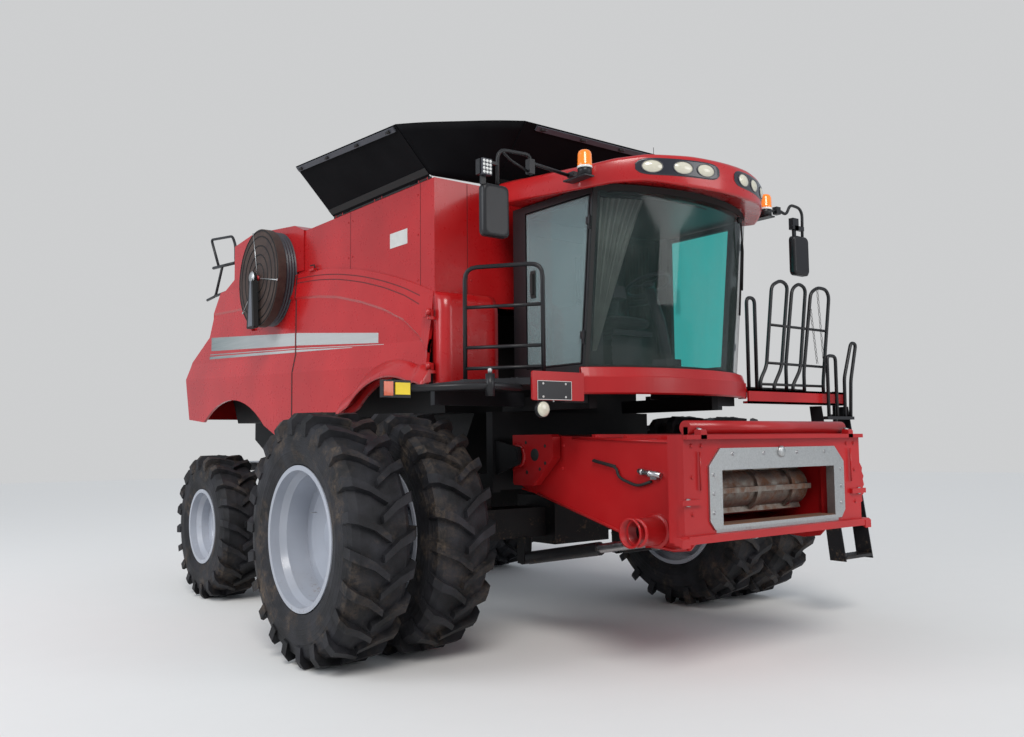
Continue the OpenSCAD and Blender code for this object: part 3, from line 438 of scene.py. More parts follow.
class Parts:
    """Gathers small shapes, drawn from the front axle, into one piece."""

    def __init__(self):
        self.points, self.faces, self.smooth, self.count = [], [], [], 0

    def add(self, points, faces, smooth=False):
        """Points with faces that count from the first of them."""
        points = np.asarray(points, float).reshape(-1, 3)
        self.points.append(points)
        self.faces += [[int(i) + self.count for i in face] for face in faces]
        self.smooth += [smooth] * len(faces)
        self.count += len(points)
        return self

    def box(self, low, high, frame=None, at=(0, 0, 0)):
        """A box, turned by the columns of frame and moved to at."""
        corners = np.array([[x, y, z] for x in (low[0], high[0]) for y in (low[1], high[1]) for z in (low[2], high[2])])
        if frame is not None:
            corners = corners @ np.asarray(frame, float).T
        return self.add(corners + np.asarray(at, float), [(0, 1, 3, 2), (4, 6, 7, 5), (0, 4, 5, 1), (2, 3, 7, 6),
                                                          (0, 2, 6, 4), (1, 5, 7, 3)])

    def beside(self, side, low, high):
        """A box on one side of the machine, with its corners given for the left side."""
        low, high = np.sort([np.multiply(low, (side, 1, 1)), np.multiply(high, (side, 1, 1))], axis=0)
        return self.box(low, high)

    def plate(self, outline, place, depth):
        """A flat outline, each corner put in space by place, given a depth as a vector."""
        front = np.array([place(*p) for p in outline], float)
        n = len(front)
        sides = [(i, (i + 1) % n, n + (i + 1) % n, n + i) for i in range(n)]
        return self.add(np.vstack([front, front + np.asarray(depth, float)]),
                        [range(n), range(2 * n - 1, n - 1, -1)] + sides)

    def tube(self, path, r, n=10):
        """A round tube along a path, its rings turned with as little twist as they can."""
        path = np.asarray(path, float)
        along = np.gradient(path, axis=0)
        along /= np.linalg.norm(along, axis=1)[:, None]
        side = unit(np.cross(along[0], Z if abs(along[0][2]) < 0.9 else X))
        angle = np.linspace(0, 2 * np.pi, n, endpoint=False)
        rings = []
        for point, ahead in zip(path, along):
            side = unit(side - ahead * (side @ ahead))
            rings.append(point + r * (np.outer(np.cos(angle), side) + np.outer(np.sin(angle), np.cross(ahead, side))))
        k = len(path)
        self.add(np.vstack(rings), grid_faces(k, n, wrap_columns=True), True)
        self.add(rings[0], [range(n)])
        return self.add(rings[-1], [range(n)])

    def turned(self, profile, at, axis, n=24, squeeze=(1, 1)):
        """A shape turned about an axis through at: its profile is [radius, height]."""
        axis = unit(axis)
        side = unit(np.cross(axis, Z if abs(axis[2]) < 0.9 else X))
        other = np.cross(axis, side)
        angle = np.linspace(0, 2 * np.pi, n, endpoint=False)
        round_ = squeeze[0] * np.outer(np.cos(angle), side) + squeeze[1] * np.outer(np.sin(angle), other)
        rings = [np.asarray(at) + max(r, 1e-4) * round_ + h * axis for r, h in profile]
        return self.add(np.vstack(rings), grid_faces(len(profile), n, wrap_columns=True), True)

    def bolts(self, places, axis, r=0.011, h=0.008):
        """Hexagon heads with a washer, each at a place on a face that looks along axis."""
        for at in places:
            self.turned([(0, 0), (r * 1.5, 0), (r * 1.5, h * 0.25), (0, h * 0.25)], at, axis, 12)
            self.turned([(0, 0), (r, 0), (r, h), (0, h)], at, axis, 6)
            self.smooth[-18:] = [False] * 18
        return self

    def make(self, name, body, finish, slot=None):
        return mesh(name, np.vstack(self.points), self.faces, body, finish, self.smooth)


def mesh(name, points, faces, body, finish, smooth=False):
    """One piece from its points and faces, moved from the front axle's frame and riding on a body."""
    data = bpy.data.meshes.new(name)
    data.from_pydata((np.asarray(points, float) + (0, AXLE_Y, 0)).tolist(), [], [list(map(int, f)) for f in faces])
    data.polygons.foreach_set("use_smooth", np.broadcast_to(smooth, len(data.polygons)).copy())
    work = bmesh.new()
    work.from_mesh(data)
    bmesh.ops.remove_doubles(work, verts=work.verts, dist=1e-5)
    bmesh.ops.dissolve_degenerate(work, edges=work.edges, dist=1e-6)
    bmesh.ops.recalc_face_normals(work, faces=work.faces)
    work.to_mesh(data)
    work.free()
    data.materials.append(finish)
    thing = bpy.data.objects.new(name.replace(" ", "_"), data)
    bpy.context.scene.collection.objects.link(thing)
    if body:
        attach(thing, body)
    return thing


def grid_faces(rows, columns, wrap_rows=False, wrap_columns=False):
    """Quads between the points of a grid that is stored row by row."""
    r = np.arange(rows if wrap_rows else rows - 1)
    c = np.arange(columns if wrap_columns else columns - 1)
    r, c = np.meshgrid(r, c, indexing="ij")
    r1, c1 = (r + 1) % rows, (c + 1) % columns
    quads = np.stack([r * columns + c, r * columns + c1, r1 * columns + c1, r1 * columns + c], -1)
    return quads.reshape(-1, 4)


def shell_faces(rows, columns):
    """Faces of two grids, one behind the other, and of the rim that joins them."""
    n, quads = rows * columns, grid_faces(rows, columns)
    border = [*range(columns), *range(2 * columns - 1, n, columns), *range(n - 2, n - columns - 1, -1),
              *range(n - 2 * columns, 0, -columns)]
    rim = [(a, b, b + n, a + n) for a, b in zip(border, border[1:] + border[:1])]
    return [*quads, *(quads + n)[:, ::-1], *rim]


def bow_radius(half, front, depth):
    """Radius of a bowed front's arc: (half^2 + depth^2) / (2 depth)."""
    return (half ** 2 + depth ** 2) / (2 * depth)


def bow(x, half, front, depth):
    """Y of a bowed front, ahead of the axle: an arc through (+-half, -front) and (0, -front - depth)."""
    r = bow_radius(half, front, depth)
    return -front - depth + r - math.sqrt(r * r - x * x)


def on_screen(x, z, out=0.0):
    """A point on the windscreen, moved out along its normal."""
    slope, foot_z = 0.13 / 1.35, 2.23
    r = bow_radius(*WINDSCREEN)
    normal = unit([x / r, -math.sqrt(1 - (x / r) ** 2), -slope])
    return np.array([x, bow(x, *WINDSCREEN) - slope * (z - foot_z), z]) + out * normal


def on_visor(x, z, out):
    """A point on the front of the roof, moved out level along the bow, and the direction out."""
    a = math.asin(abs(x) / bow_radius(*VISOR))
    away = np.array([math.copysign(math.sin(a), x), -math.cos(a), 0])
    return np.array([x, bow(x, *VISOR), z]) + out * away, away


# ---------------------------------------------------------------- cab
POD_Z = 3.788


def roof_lamps():
    """Oval lenses in the roof's pods: a shallow dome a cos, b sin, with height h (1 - s^2)."""
    lenses, rims = Parts(), Parts()
    for x in (0.23, 0.43, 0.66):
        for side in (-1, 1):
            at, out = on_visor(side * x, POD_Z, 0.0035)
            share = np.linspace(1, 0, 7)
            lenses.turned([(0.052 * s, 0.018 * (1 - s * s)) for s in share], at, out, 28, (1.55, 0.93))
            rims.turned([(0.052, 0), (0.0525, 0.006), (0.056, 0.006), (0.0565, 0)], at, out, 28, (1.55, 0.93))
    lenses.make("roof lamp lenses", "machine", lens, "black_paint")
    rims.make("roof lamp rims", "machine", plain("lamp_rim", (0.10, 0.10, 0.11), 0.4), "black_paint")


def beacons():
    """Amber domes with ribs over the beacons' stems, and their clear collars."""
    domes, collars = Parts(), Parts()
    for x in (-1.1003, 1.1003):
        profile = [(0.056, 3.778), (0.0565, 3.80), (0.055, 3.802), (0.0555, 3.83), (0.0545, 3.832), (0.0535, 3.868),
                   (0.047, 3.888), (0.035, 3.899), (0.016, 3.904), (0, 3.905)]
        domes.turned(profile, (x, -1.59, 0), Z, 32)
        collars.turned([(0.056, 3.7605), (0.0585, 3.762), (0.0585, 3.777), (0.0565, 3.7775)], (x, -1.59, 0), Z, 32)
    domes.make("beacon domes", "machine", amber, "black_paint")
    collars.make("beacon collars", "machine", white_lens, "black_paint")


def cushion(name, low, high, crown):
    """A crowned cushion: a superellipsoid |u|^4 + |v|^4 + |w|^2.6 = 1 whose sides pull in between the corners."""
    low, high = np.asarray(low, float), np.asarray(high, float)
    middle, half = (low + high) / 2, (high - low) / 2
    k = 28
    across, down = np.linspace(-np.pi, np.pi, 2 * k, endpoint=False), np.linspace(-np.pi / 2, np.pi / 2, k)
    down, across = np.meshgrid(down, across, indexing="ij")

    def root(value, power):
        return np.sign(value) * np.abs(value) ** power

    thin = int(np.argmin(half))
    flat = [i for i in range(3) if i != thin]
    shape = np.zeros((*down.shape, 3))
    shape[..., flat[0]] = root(np.cos(down), 0.55) * root(np.cos(across), 0.42)
    shape[..., flat[1]] = root(np.cos(down), 0.55) * root(np.sin(across), 0.42)
    shape[..., thin] = root(np.sin(down), 0.75)
    u, v = shape[..., flat[0]], shape[..., flat[1]]
    shape[..., thin] *= 1 - crown + crown * (1 - u * u) * (1 - v * v)
    seam = 0.10 * np.exp(-((np.abs(u) - 0.55) / 0.035) ** 2)
    shape[..., thin] *= 1 - seam
    shape[..., flat[0]] *= 1 - 0.035 * (1 - v * v)
    shape[..., flat[1]] *= 1 - 0.035 * (1 - u * u)
    piece = mesh(name, middle + shape.reshape(-1, 3) * half, grid_faces(k, 2 * k, wrap_columns=True), "machine",
                 seat_cloth, True)
    return piece


def cab_inside():
    """Seat, armrests, steering column, wheel and console, in place of the plain blocks."""
    made = [cushion(name, low, high, crown) for name, low, high, crown in (
        ("seat cushion", (-0.25, -1.00, 2.66), (0.25, -0.55, 2.80), 0.25),
        ("seat back", (-0.24, -0.62, 2.80), (0.24, -0.50, 3.40), 0.30),
        ("head rest", (-0.14, -0.60, 3.42), (0.14, -0.51, 3.60), 0.2),
        ("right armrest", (-0.34, -0.98, 2.92), (-0.27, -0.62, 2.98), 0.1),
        ("left armrest", (0.27, -0.98, 2.92), (0.34, -0.62, 2.98), 0.1))]
    base = Parts()
    base.box((-0.20, -0.92, CAB_FLOOR_Z + 0.001), (0.20, -0.60, 2.40))
    for i in range(7):
        z = 2.40 + i * 0.03
        base.box((-0.19 + 0.01 * (i % 2), -0.90, z), (0.19 - 0.01 * (i % 2), -0.62, z + 0.03))
    base.box((-0.24, -0.98, 2.61), (0.24, -0.56, 2.657))
    base.box((-0.22, -0.50, 2.62), (0.22, -0.485, 3.36))
    for x in (-0.08, 0.08):
        base.tube([(x, -0.555, 3.30), (x, -0.555, 3.50)], 0.008)
    for x in (-0.305, 0.305):
        base.tube([(x, -0.60, 2.70), (x, -0.60, 2.915)], 0.018)
        base.tube([(x * 0.75, -0.60, 2.70), (x, -0.60, 2.70)], 0.018)
    made.append(base.make("seat frame", "machine", plastic, "seat_plastic"))
    column = Parts()
    column.plate([(-0.09, -0.06), (0.09, -0.06), (0.11, 0.08), (-0.11, 0.08)],
                 lambda u, v: (u, -1.385 + v, CAB_FLOOR_Z + 0.001), (0, 0, 0.07))
    column.tube([(0, -1.38, 2.33), (0, -1.30, 2.70), (0, -1.19, 2.98)], 0.045, 16)
    axis = unit((0, -math.sin(math.radians(-22)), math.cos(math.radians(22))))
    hub = np.array([0, -1.17, 3.03])
    side, other = X, np.cross(axis, X)
    turn = np.linspace(0, 2 * np.pi, 49)
    column.tube([hub + 0.19 * (math.cos(t) * side + math.sin(t) * other) for t in turn], 0.014, 12)
    for t in (0.35, math.pi - 0.35, 1.5 * math.pi):
        column.tube([hub, hub + 0.185 * (math.cos(t) * side + math.sin(t) * other)], 0.011, 8)
    column.turned([(0, -0.03), (0.05, -0.03), (0.06, 0), (0.045, 0.02), (0, 0.024)], hub, axis, 20)
    column.turned([(0, 0), (0.012, 0), (0.022, 0.03), (0.018, 0.05), (0, 0.055)],
                  hub + 0.17 * (math.cos(2.2) * side + math.sin(2.2) * other), axis, 12)
    made.append(column.make("steering column", "machine", plastic, "seat_plastic"))
    console = Parts()
    console.box((-0.56, -1.02, CAB_FLOOR_Z + 0.001), (-0.40, -0.55, 2.85))
    console.plate([(-0.02, 0), (0.30, -0.02), (0.33, 0.05), (0, 0.10)],
                  lambda u, v: (-0.55, -1.30 + u, 2.86 + v), (0.14, 0, 0))
    console.tube([(-0.48, -1.15, 2.93), (-0.48, -1.17, 3.04)], 0.016)
    console.turned([(0, 0), (0.03, 0.005), (0.034, 0.03), (0.02, 0.06), (0, 0.065)], (-0.48, -1.17, 3.03), Z, 16)
    console.tube([(-0.62, -1.30, 2.75), (-0.64, -1.33, 3.05)], 0.012)
    console.box((-0.74, -1.345, 3.03), (-0.54, -1.32, 3.18))
    made.append(console.make("side console", "machine", plastic, "seat_plastic"))
    glow = Parts()
    glow.box((-0.73, -1.3195, 3.04), (-0.55, -1.3185, 3.17))
    made.append(glow.make("monitor face", "machine", plain("monitor_face", (0.02, 0.03, 0.05), 0.1), "seat_plastic"))
    for piece in made:
        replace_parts(piece, "cab_interior")


def hung(name, rows, columns, place, finish):
    """A sheet from a formula: place gives the point at u across and v down, each from 0 to 1."""
    points = [place(u, v) for v in np.linspace(0, 1, rows) for u in np.linspace(0, 1, columns)]
    return mesh(name, points, grid_faces(rows, columns), "machine", finish, True)


def curtain():
    """A curtain gathered behind the right of the windscreen: folds that deepen where its edge is drawn in."""
    turn = 2 * math.pi

    def place(u, v):
        edge, drawn = -0.86, -0.50 - 0.33 * v ** 0.8
        fold = 0.020 * math.sin(turn * 8 * u + 0.6 * math.sin(3 * v)) + 0.005 * math.sin(turn * 21 * u + 2 * v)
        return on_screen(edge + (drawn - edge) * u, 3.60 - 1.20 * v, -0.075 + fold * (0.7 + 0.3 * v))

    piece = hung("curtain", 40, 150, place, curtain_cloth)
    rail = Parts()
    rail.tube([on_screen(x, 3.612, -0.075) for x in np.linspace(-0.87, 0.2, 14)], 0.006, 8)
    rail.make("curtain rail", "machine", plastic, "seat_plastic")


def cab_trim():
    """Wiper, black borders of the screen, antenna, door handles, work lamp and mirror glass."""
    trim = Parts()
    trim.tube([on_screen(0.66, 3.60, 0.03), on_screen(0.76, 3.35, 0.035), on_screen(0.84, 3.02, 0.028)], 0.008, 8)
    trim.tube([on_screen(0.80, 3.45, 0.012), on_screen(0.83, 3.15, 0.012), on_screen(0.86, 2.80, 0.012)], 0.009, 8)
    trim.turned([(0, 0), (0.03, 0), (0.026, 0.02), (0, 0.024)], on_screen(0.66, 3.60, 0.012), -Y, 16)
    for z in (2.262, 3.672):
        lo, hi = z - 0.026, z + 0.026
        xs = np.linspace(-0.915, 0.915, 40)
        band = [on_screen(x, h, 0.004) for h in (lo, hi) for x in xs]
        trim.add(band, grid_faces(2, 40))
    for x in (-0.905, 0.905):
        band = [on_screen(x + d, z, 0.005) for z in np.linspace(2.25, 3.68, 12) for d in (-0.014, 0.014)]
        trim.add(band, grid_faces(12, 2))
    trim.tube([(-0.30, -1.55, 3.955), (-0.31, -1.56, 4.08)], 0.0022, 6)
    for side in (-1, 1):
        trim.beside(side, (0.889, -0.72, 2.93), (0.919, -0.69, 3.10))
        trim.beside(side, (0.889, -0.735, 2.90), (0.901, -0.675, 3.13))
    trim.make("cab trim", "machine", rubber, "black_paint")
    work = Parts()
    work.box((-1.965, -1.462, 3.605), (-1.882, -1.425, 3.722))
    work.make("work lamp body", "machine", plastic, "black_paint")
    face = Parts()
    for i in range(3):
        for j in range(4):
            at = (-1.951 + 0.028 * i, -1.4622, 3.623 + 0.027 * j)
            face.turned([(0.0115, 0), (0.0105, 0.002), (0, 0.004)], at, -Y, 10)
    face.make("work lamp lenses", "machine", white_lens, "black_paint")
    glass = Parts()
    for x, z in ((-1.833, 3.36), (1.833, 3.45)):
        glass.plate([(-0.09, -0.15), (-0.075, -0.165), (0.075, -0.165), (0.09, -0.15), (0.09, 0.15), (0.075, 0.165),
                     (-0.075, 0.165), (-0.09, 0.15)], lambda u, v, x=x, z=z: (x + u, -1.3845, z + v), (0, 0.002, 0))
    glass.make("mirror glass", "machine", mirror_glass, "black_paint")


# ---------------------------------------------------------------- covers
def cover_frame(which):
    """Hinge point, direction up the cover and direction out of its outer face, for an open cover."""
    out = {"front": -Y, "rear": Y, "right": -X, "left": X}[which]
    hinge = {"front": TANK_FRONT * Y, "rear": TANK_REAR * Y, "right": -TANK_SIDE * X, "left": TANK_SIDE * X}[which]
    up = math.sin(COVER_FLARE) * out + math.cos(COVER_FLARE) * Z
    face = math.cos(COVER_FLARE) * out - math.sin(COVER_FLARE) * Z
    return hinge + COVER_HINGE_Z * Z, up, face


def cover_details():
    """A bar with knuckles near each cover's free edge, a rubber strip at its hinge and one on the tank's rim."""
    gasket_and_gap_shade = Parts()
    for x in (-TANK_SIDE, TANK_SIDE):
        gasket_and_gap_shade.box((x - 0.006, -0.135, 3.9505), (x + 0.006, 1.655, 3.966))
    for y in (TANK_FRONT, TANK_REAR):
        gasket_and_gap_shade.box((-0.9, y - 0.006, 3.9505), (0.9, y + 0.006, 3.966))
    gasket_and_gap_shade.make("cover gaskets", "machine", rubber, "black_paint")
    for which in COVERS:
        hinge, up, face = cover_frame(which)
        along = X if which in ("front", "rear") else Y
        if which in ("front", "rear"):
            ends, reach = (-0.80, 0.80), (0.652, 0.652)
        else:
            ends, reach = (-0.135, 1.655), (0.52, 0.61)
        low, high = [hinge + e * along + (r - 0.03) * up + 0.018 * face for e, r in zip(ends, reach)]
        bar, black_bits = Parts(), Parts()
        run = unit(high - low)
        frame = np.column_stack([run, np.cross(face, run), face])
        bar.box((0.03, -0.022, -0.010), (np.linalg.norm(high - low) - 0.03, 0.022, 0.010), frame, low)
        for share in (0.06, 0.35, 0.65, 0.94):
            at = low + share * (high - low)
            black_bits.tube([at - 0.02 * run + 0.012 * face, at + 0.02 * run + 0.012 * face], 0.014, 12)
            bar.bolts([at + 0.05 * run + 0.0102 * face], face, 0.008, 0.006)
        bar.make("cover bar " + which, "cover_" + which, plain("bar_grey_" + which, (0.060, 0.062, 0.075), 0.5),
                 "black_paint")
        start, stop = (-0.88, 0.88) if which in ("front", "rear") else ends
        frame = np.column_stack([along, np.cross(face, along), face])
        black_bits.box((start, -0.03, -0.0105), (stop, 0.03, -0.0075), frame, hinge + 0.06 * up + 0.0185 * face)
        black_bits.make("cover knuckles " + which, "cover_" + which, rubber, "black_paint")


# ---------------------------------------------------------------- body panels
def side_stripe():
    """Silver stripes along both sides, above the crease, parted at the seam between door and rear panel."""
    bands = [[(4.96, 2.880, 3.050), (2.478, 2.735, 2.870)], [(5.00, 2.828, 2.840), (2.478, 2.700, 2.708)],
             [(5.02, 2.778, 2.812), (2.478, 2.664, 2.690)]]
    front = [[(2.455, 2.735, 2.869), (0.70, 2.607, 2.700)], [(2.455, 2.699, 2.707), (0.60, 2.583, 2.588)],
             [(2.455, 2.664, 2.689), (1.20, 2.606, 2.611)]]
    for side, name in SIDES:
        for parts, body, where in ((bands, "machine", "rear"), (front, "side_door_" + name, "door")):
            made = Parts()
            for (y0, low0, high0), (y1, low1, high1) in parts:
                made.plate([(y0, low0), (y1, low1), (y1, high1), (y0, high0)],
                           lambda u, v: (side * 1.5782, u, v), (side * 0.0009, 0, 0))
            made.make("silver stripe " + where + " " + name, body, stripe, "red_paint")


def door_top(y):
    """Height of the side doors' curved upper edge."""
    return 3.5 - 0.51 * ((2.6 - y) / 2.72) ** 2


def shoulder_x(z, brow):
    """Distance of the leaning shoulder from the centre line at a height between eyebrow and top."""
    return HIGH_SIDE - 0.10 * (z - brow)


def panel_details():
    """Grooves on the doors' shoulders as strips of painted shade, tank seams, blank label, latches and bolts."""
    for side, name in SIDES:
        # Painted shade: the shoulder's grooves are thin dark red strips laid on the surface, standing in for the shade
        # inside them.
        groove_shade = Parts()
        for share in (0.62, 0.80):
            line = []
            for y in np.linspace(0.02, 2.45, 50):
                brow, top = line_of(BROW)(y), door_top(y)
                z = brow + share * (top - brow)
                for d in (-0.005, 0.005):
                    line.append((side * (shoulder_x(z + d, brow) + 0.0012), y, z + d))
            groove_shade.add(line, grid_faces(50, 2))
        groove_shade.make("shoulder groove shade " + name, "side_door_" + name, plain("groove_" + name, (0.12, 0.004, 0.005), 0.6),
                    "red_paint")
        latch = Parts()
        latch.box((-0.02, -0.06, 0), (0.02, 0.06, 0.022), None, (side * 1.574, 2.07, 3.478))
        latch.make("latch foot " + name, "side_door_" + name, red, "red_paint")
        handle = Parts()
        handle.tube([(side * 1.574, 2.02, 3.499), (side * 1.578, 2.03, 3.535), (side * 1.578, 2.12, 3.540)], 0.007, 8)
        handle.make("latch handle " + name, "side_door_" + name, rubber, "black_paint")
    seams = Parts()
    for x in (-1.5405, 1.5405):
        for y in (0.04, 1.31):
            seams.box((min(x, x * 1.0004), y - 0.003, 2.90), (max(x, x * 1.0004), y + 0.003, 3.945))
    for x in (-1.2, -0.4, 0.4, 1.2):
        seams.box((x - 0.003, -0.1808, 2.90), (x + 0.003, -0.1802, 3.94))
    seams.make("tank seams", "machine", plain("seam_shadow", (0.05, 0.003, 0.004), 0.7), "red_paint")
    bolts = Parts()
    for side in (-1, 1):
        bolts.bolts([(side * (TANK_SIDE + 0.0004), y, z) for y in (0.08, 1.27, 1.35) for z in (3.1, 3.5, 3.85)],
                    side * X, 0.007, 0.005)
    bolts.bolts([(x, TANK_FRONT - 0.0004, z) for x in (-1.16, -0.44, 0.44, 1.16) for z in (3.1, 3.85)], -Y,
                0.007, 0.005)
    bolts.make("tank bolts", "machine", red, "red_paint")
    Parts().box((-1.5418, 0.255, 3.455), (-1.5403, 0.555, 3.590)).make("blank label", "machine", blank_plate,
                                                                      "red_paint")
    Parts().box((-1.452, -1.4262, 2.012), (-1.125, -1.4238, 2.146)).make(
        "blank number plate", "machine", plain("blank_number", (0.015, 0.015, 0.017), 0.35), "black_paint")
    edge = Parts()
    for x0, x1, z0, z1 in ((-1.456, -1.121, 2.008, 2.012), (-1.456, -1.121, 2.146, 2.150),
                           (-1.456, -1.452, 2.012, 2.146), (-1.125, -1.121, 2.012, 2.146)):
        edge.box((x0, -1.4272, z0), (x1, -1.4262, z1))
    edge.bolts([(x, -1.4263, z) for z in (2.128, 2.03) for x in (-1.40, -1.18)], -Y, 0.006, 0.004)
    edge.make("number plate edge", "machine", blank_plate, "black_paint")


def lamps_below():
    """Lens of the round lamp, and the reflector and lamp on the marker arm."""
    round_lens = Parts().turned([(0.056, 0), (0.054, 0.008), (0.04, 0.017), (0.02, 0.022), (0, 0.023)],
                                (-1.40, -1.4252, 1.938), -Y, 28)
    round_lens.make("round lamp lens", "machine", lens, "black_paint")
    marker = plain("marker_lens", (0.62, 0.10, 0.03), 0.2, Coat_Weight=0.6)
    for name, finish, low, high in (
            ("yellow reflector", yellow, (-2.545, -1.2352, 2.030), (-2.43, -1.2252, 2.112)),
            ("marker lamp", marker, (-2.632, -1.2280, 2.022), (-2.56, -1.2252, 2.118))):
        Parts().box(low, high).make(name, "machine", finish, "black_paint")


def air_screen_details():
    """Wire spokes and their end caps on the rotary screen, and its hub cap."""
    spokes = Parts()
    at = np.array([-1.774, AIR_SCREEN_Y, AIR_SCREEN_Z])
    for angle in (75, 190, 320):
        a = math.radians(angle)
        out = np.array([0, math.cos(a), math.sin(a)])
        spokes.tube([at + 0.06 * out, at + 0.533 * out], 0.006, 8)
        spokes.turned([(0, 0), (0.014, 0), (0.014, 0.008), (0, 0.009)], at + 0.533 * out, -X, 12)
    spokes.make("screen spokes", "air_screen", galvanised, "galvanised")
    cap = Parts().turned([(0.0, 0.02), (0.03, 0.018), (0.055, 0.010), (0.068, 0)],
                         (-1.8445, AIR_SCREEN_Y, AIR_SCREEN_Z), -X, 24)
    cap.make("hub cap", "machine", galvanised, "galvanised")


# ---------------------------------------------------------------- wheels
def ring_of(x, y, z, r, count):
    """Places on a circle about a wheel's axis."""
    return [(x, y + r * math.cos(t), z + r * math.sin(t)) for t in 2 * math.pi * np.arange(count) / count]


def wheel_details():
    """Bolt circles and hub caps on every wheel, and a valve on each front wheel."""
    for side, name in SIDES:
        axis = side * X
        nuts = Parts().bolts(ring_of(side * 2.2951, 0, FRONT_WHEEL_Z, 0.17, 12), axis, 0.017, 0.020)
        nuts.turned([(0.004, 0), (0.004, 0.05), (0.0, 0.052)], (side * 2.36, 0.34, 1.14), axis, 8)
        nuts.make("front wheel nuts " + name, "front_wheels_" + name, bright, "rim_paint")
        cap = Parts().turned([(0.112, -0.02), (0.112, 0.008), (0.095, 0.028), (0.05, 0.040), (0, 0.042)],
                             (side * 2.3255, 0, FRONT_WHEEL_Z), axis, 32)
        cap.make("front hub cap " + name, "front_wheels_" + name, rim_paint, "rim_paint")
        nuts = Parts().bolts(ring_of(side * 1.8523, REAR_WHEEL_Y, REAR_WHEEL_Z, 0.14, 10), axis, 0.014, 0.016)
        nuts.make("rear wheel nuts " + name, "rear_wheel_" + name, bright, "rim_paint")
        cap = Parts().turned([(0.098, -0.01), (0.098, 0.004), (0.08, 0.02), (0.04, 0.03), (0, 0.031)],
                             (side * 1.9522, REAR_WHEEL_Y, REAR_WHEEL_Z), axis, 28)
        cap.make("rear hub cap " + name, "rear_wheel_" + name, rim_paint, "rim_paint")


# ---------------------------------------------------------------- feeder
def feeder_details():
    """Bolts round the crop opening and on the gear covers, worn lip, tube rim, latch pins and pipes."""
    bolts = Parts()
    places = [(x, 1.60) for x in (-0.55, -0.2, 0.2, 0.55)] + [(x, z) for x in (-0.76, 0.76) for z in (1.20, 1.33, 1.46)]
    bolts.bolts([(x, -2.4745, z) for x, z in places], -Y, 0.010, 0.008)
    bolts.make("frame bolts", "feeder", bright, "galvanised")
    face = Parts()
    corners = ((0.97, 1.66), (0.97, 1.45), (0.97, 1.20), (0.87, 1.66))
    face.bolts([(side * x, -2.4603, z) for side in (-1, 1) for x, z in corners], -Y, 0.011, 0.009)
    for side in (-1, 1):
        face.bolts([(side * 0.8703, y, z) for y, z in ((-0.42, 1.68), (-1.04, 1.665), (-1.02, 1.48), (-0.66, 1.35),
                                                       (-0.38, 1.46))], side * X, 0.009, 0.007)
    face.make("feeder bolts", "feeder", red_low, "red_paint")
    Parts().box((-0.665, -2.470, 1.1105), (0.665, -2.33, 1.116)).make("worn floor lip", "feeder", rust, "galvanised")
    rim = Parts().turned([(0.086, 0), (0.1005, 0), (0.104, -0.006), (0.104, -0.016), (0.1005, -0.02)],
                         (-1.0405, -2.0, 1.05), -X, 40)
    rim.make("tube rim", "feeder", red_low, "red_paint")
    hooks = Parts()
    for s in (-1, 1):
        hooks.tube([(s * 0.88, -2.478, 1.765), (s * 0.88, -2.44, 1.778)], 0.012, 8)
        hooks.turned([(0, 0), (0.028, 0), (0.028, 0.012), (0.012, 0.014), (0, 0.014)],
                     (s * 1.02, -2.4614, 1.281), -Y, 20)
    hooks.make("latch pins", "feeder", galvanised, "galvanised")
    lines = Parts()
    for i, r in enumerate((0.014, 0.011, 0.011)):
        lines.tube([(0.797, y, z - 0.04 * i) for y, z in ((-2.25, 1.60), (-1.8, 1.62), (-1.15, 1.62))], r, 8)
    lines.make("feeder pipes", "feeder", rubber, "black_paint")


# ---------------------------------------------------------------- large forms drawn over the plain solids
def line_of(points):
    """Height along Y through a list of [y, z]."""
    ys, zs = np.array(points, float).T
    return lambda y: np.interp(y, ys, zs)


def arc(centre, r, start, stop, n=14):
    """Points [y, z] on a circle, angles in degrees."""
    return [(centre[0] + r * math.cos(math.radians(a)), centre[1] + r * math.sin(math.radians(a)))
            for a in np.linspace(start, stop, n)]


def side_skin(parts, side, ys, low, high, brow, lean, wall=0.03):
    """One side's sheet: outermost below the crease, drawn in above it, stepped out at the brow, leaning in over it.

    The crease rises 1.88 degrees towards the rear and is CREASE_TALL high.
    """
    crease = 2.36 + math.tan(math.radians(1.88)) * (ys + 0.1)
    lows, highs, brows = low(ys), high(ys), brow(ys)
    levels = [lows, crease, crease + 0.02, crease + 0.19, crease + CREASE_TALL, brows - 0.012, brows + 0.012, highs]
    levels = [np.clip(v, lows, highs) for v in levels]
    rows = []
    for one, two in zip(levels[:-1], levels[1:]):
        rows += [one, (one + two) / 2]
    z = np.array(rows + [levels[-1]])
    x = LOW_SIDE - (LOW_SIDE - MID_SIDE) * np.clip((z - crease) / CREASE_TALL, 0, 1)
    x = x + (HIGH_SIDE - MID_SIDE) * np.clip((z - brows) / 0.024 + 0.5, 0, 1)
    x = x - lean * np.clip(z - brows, 0, None)
    y = np.broadcast_to(ys, z.shape)
    outer = np.stack([side * x, y, z], -1)
    inner = np.stack([side * (x - wall), y, z], -1)
    parts.add(np.vstack([outer.reshape(-1, 3), inner.reshape(-1, 3)]), shell_faces(*z.shape))


BROW = [(-0.165, 2.46), (0, 2.61), (0.25, 2.77), (0.6, 2.905), (1.0, 3.02), (1.49, 3.13), (1.9, 3.19), (2.33, 3.23),
        (2.462, 3.236)]
REAR_TOP = [(2.47, 3.50), (4.70, 3.61), (5.03, 3.06), (5.67, 2.78), (5.79, 2.56)]


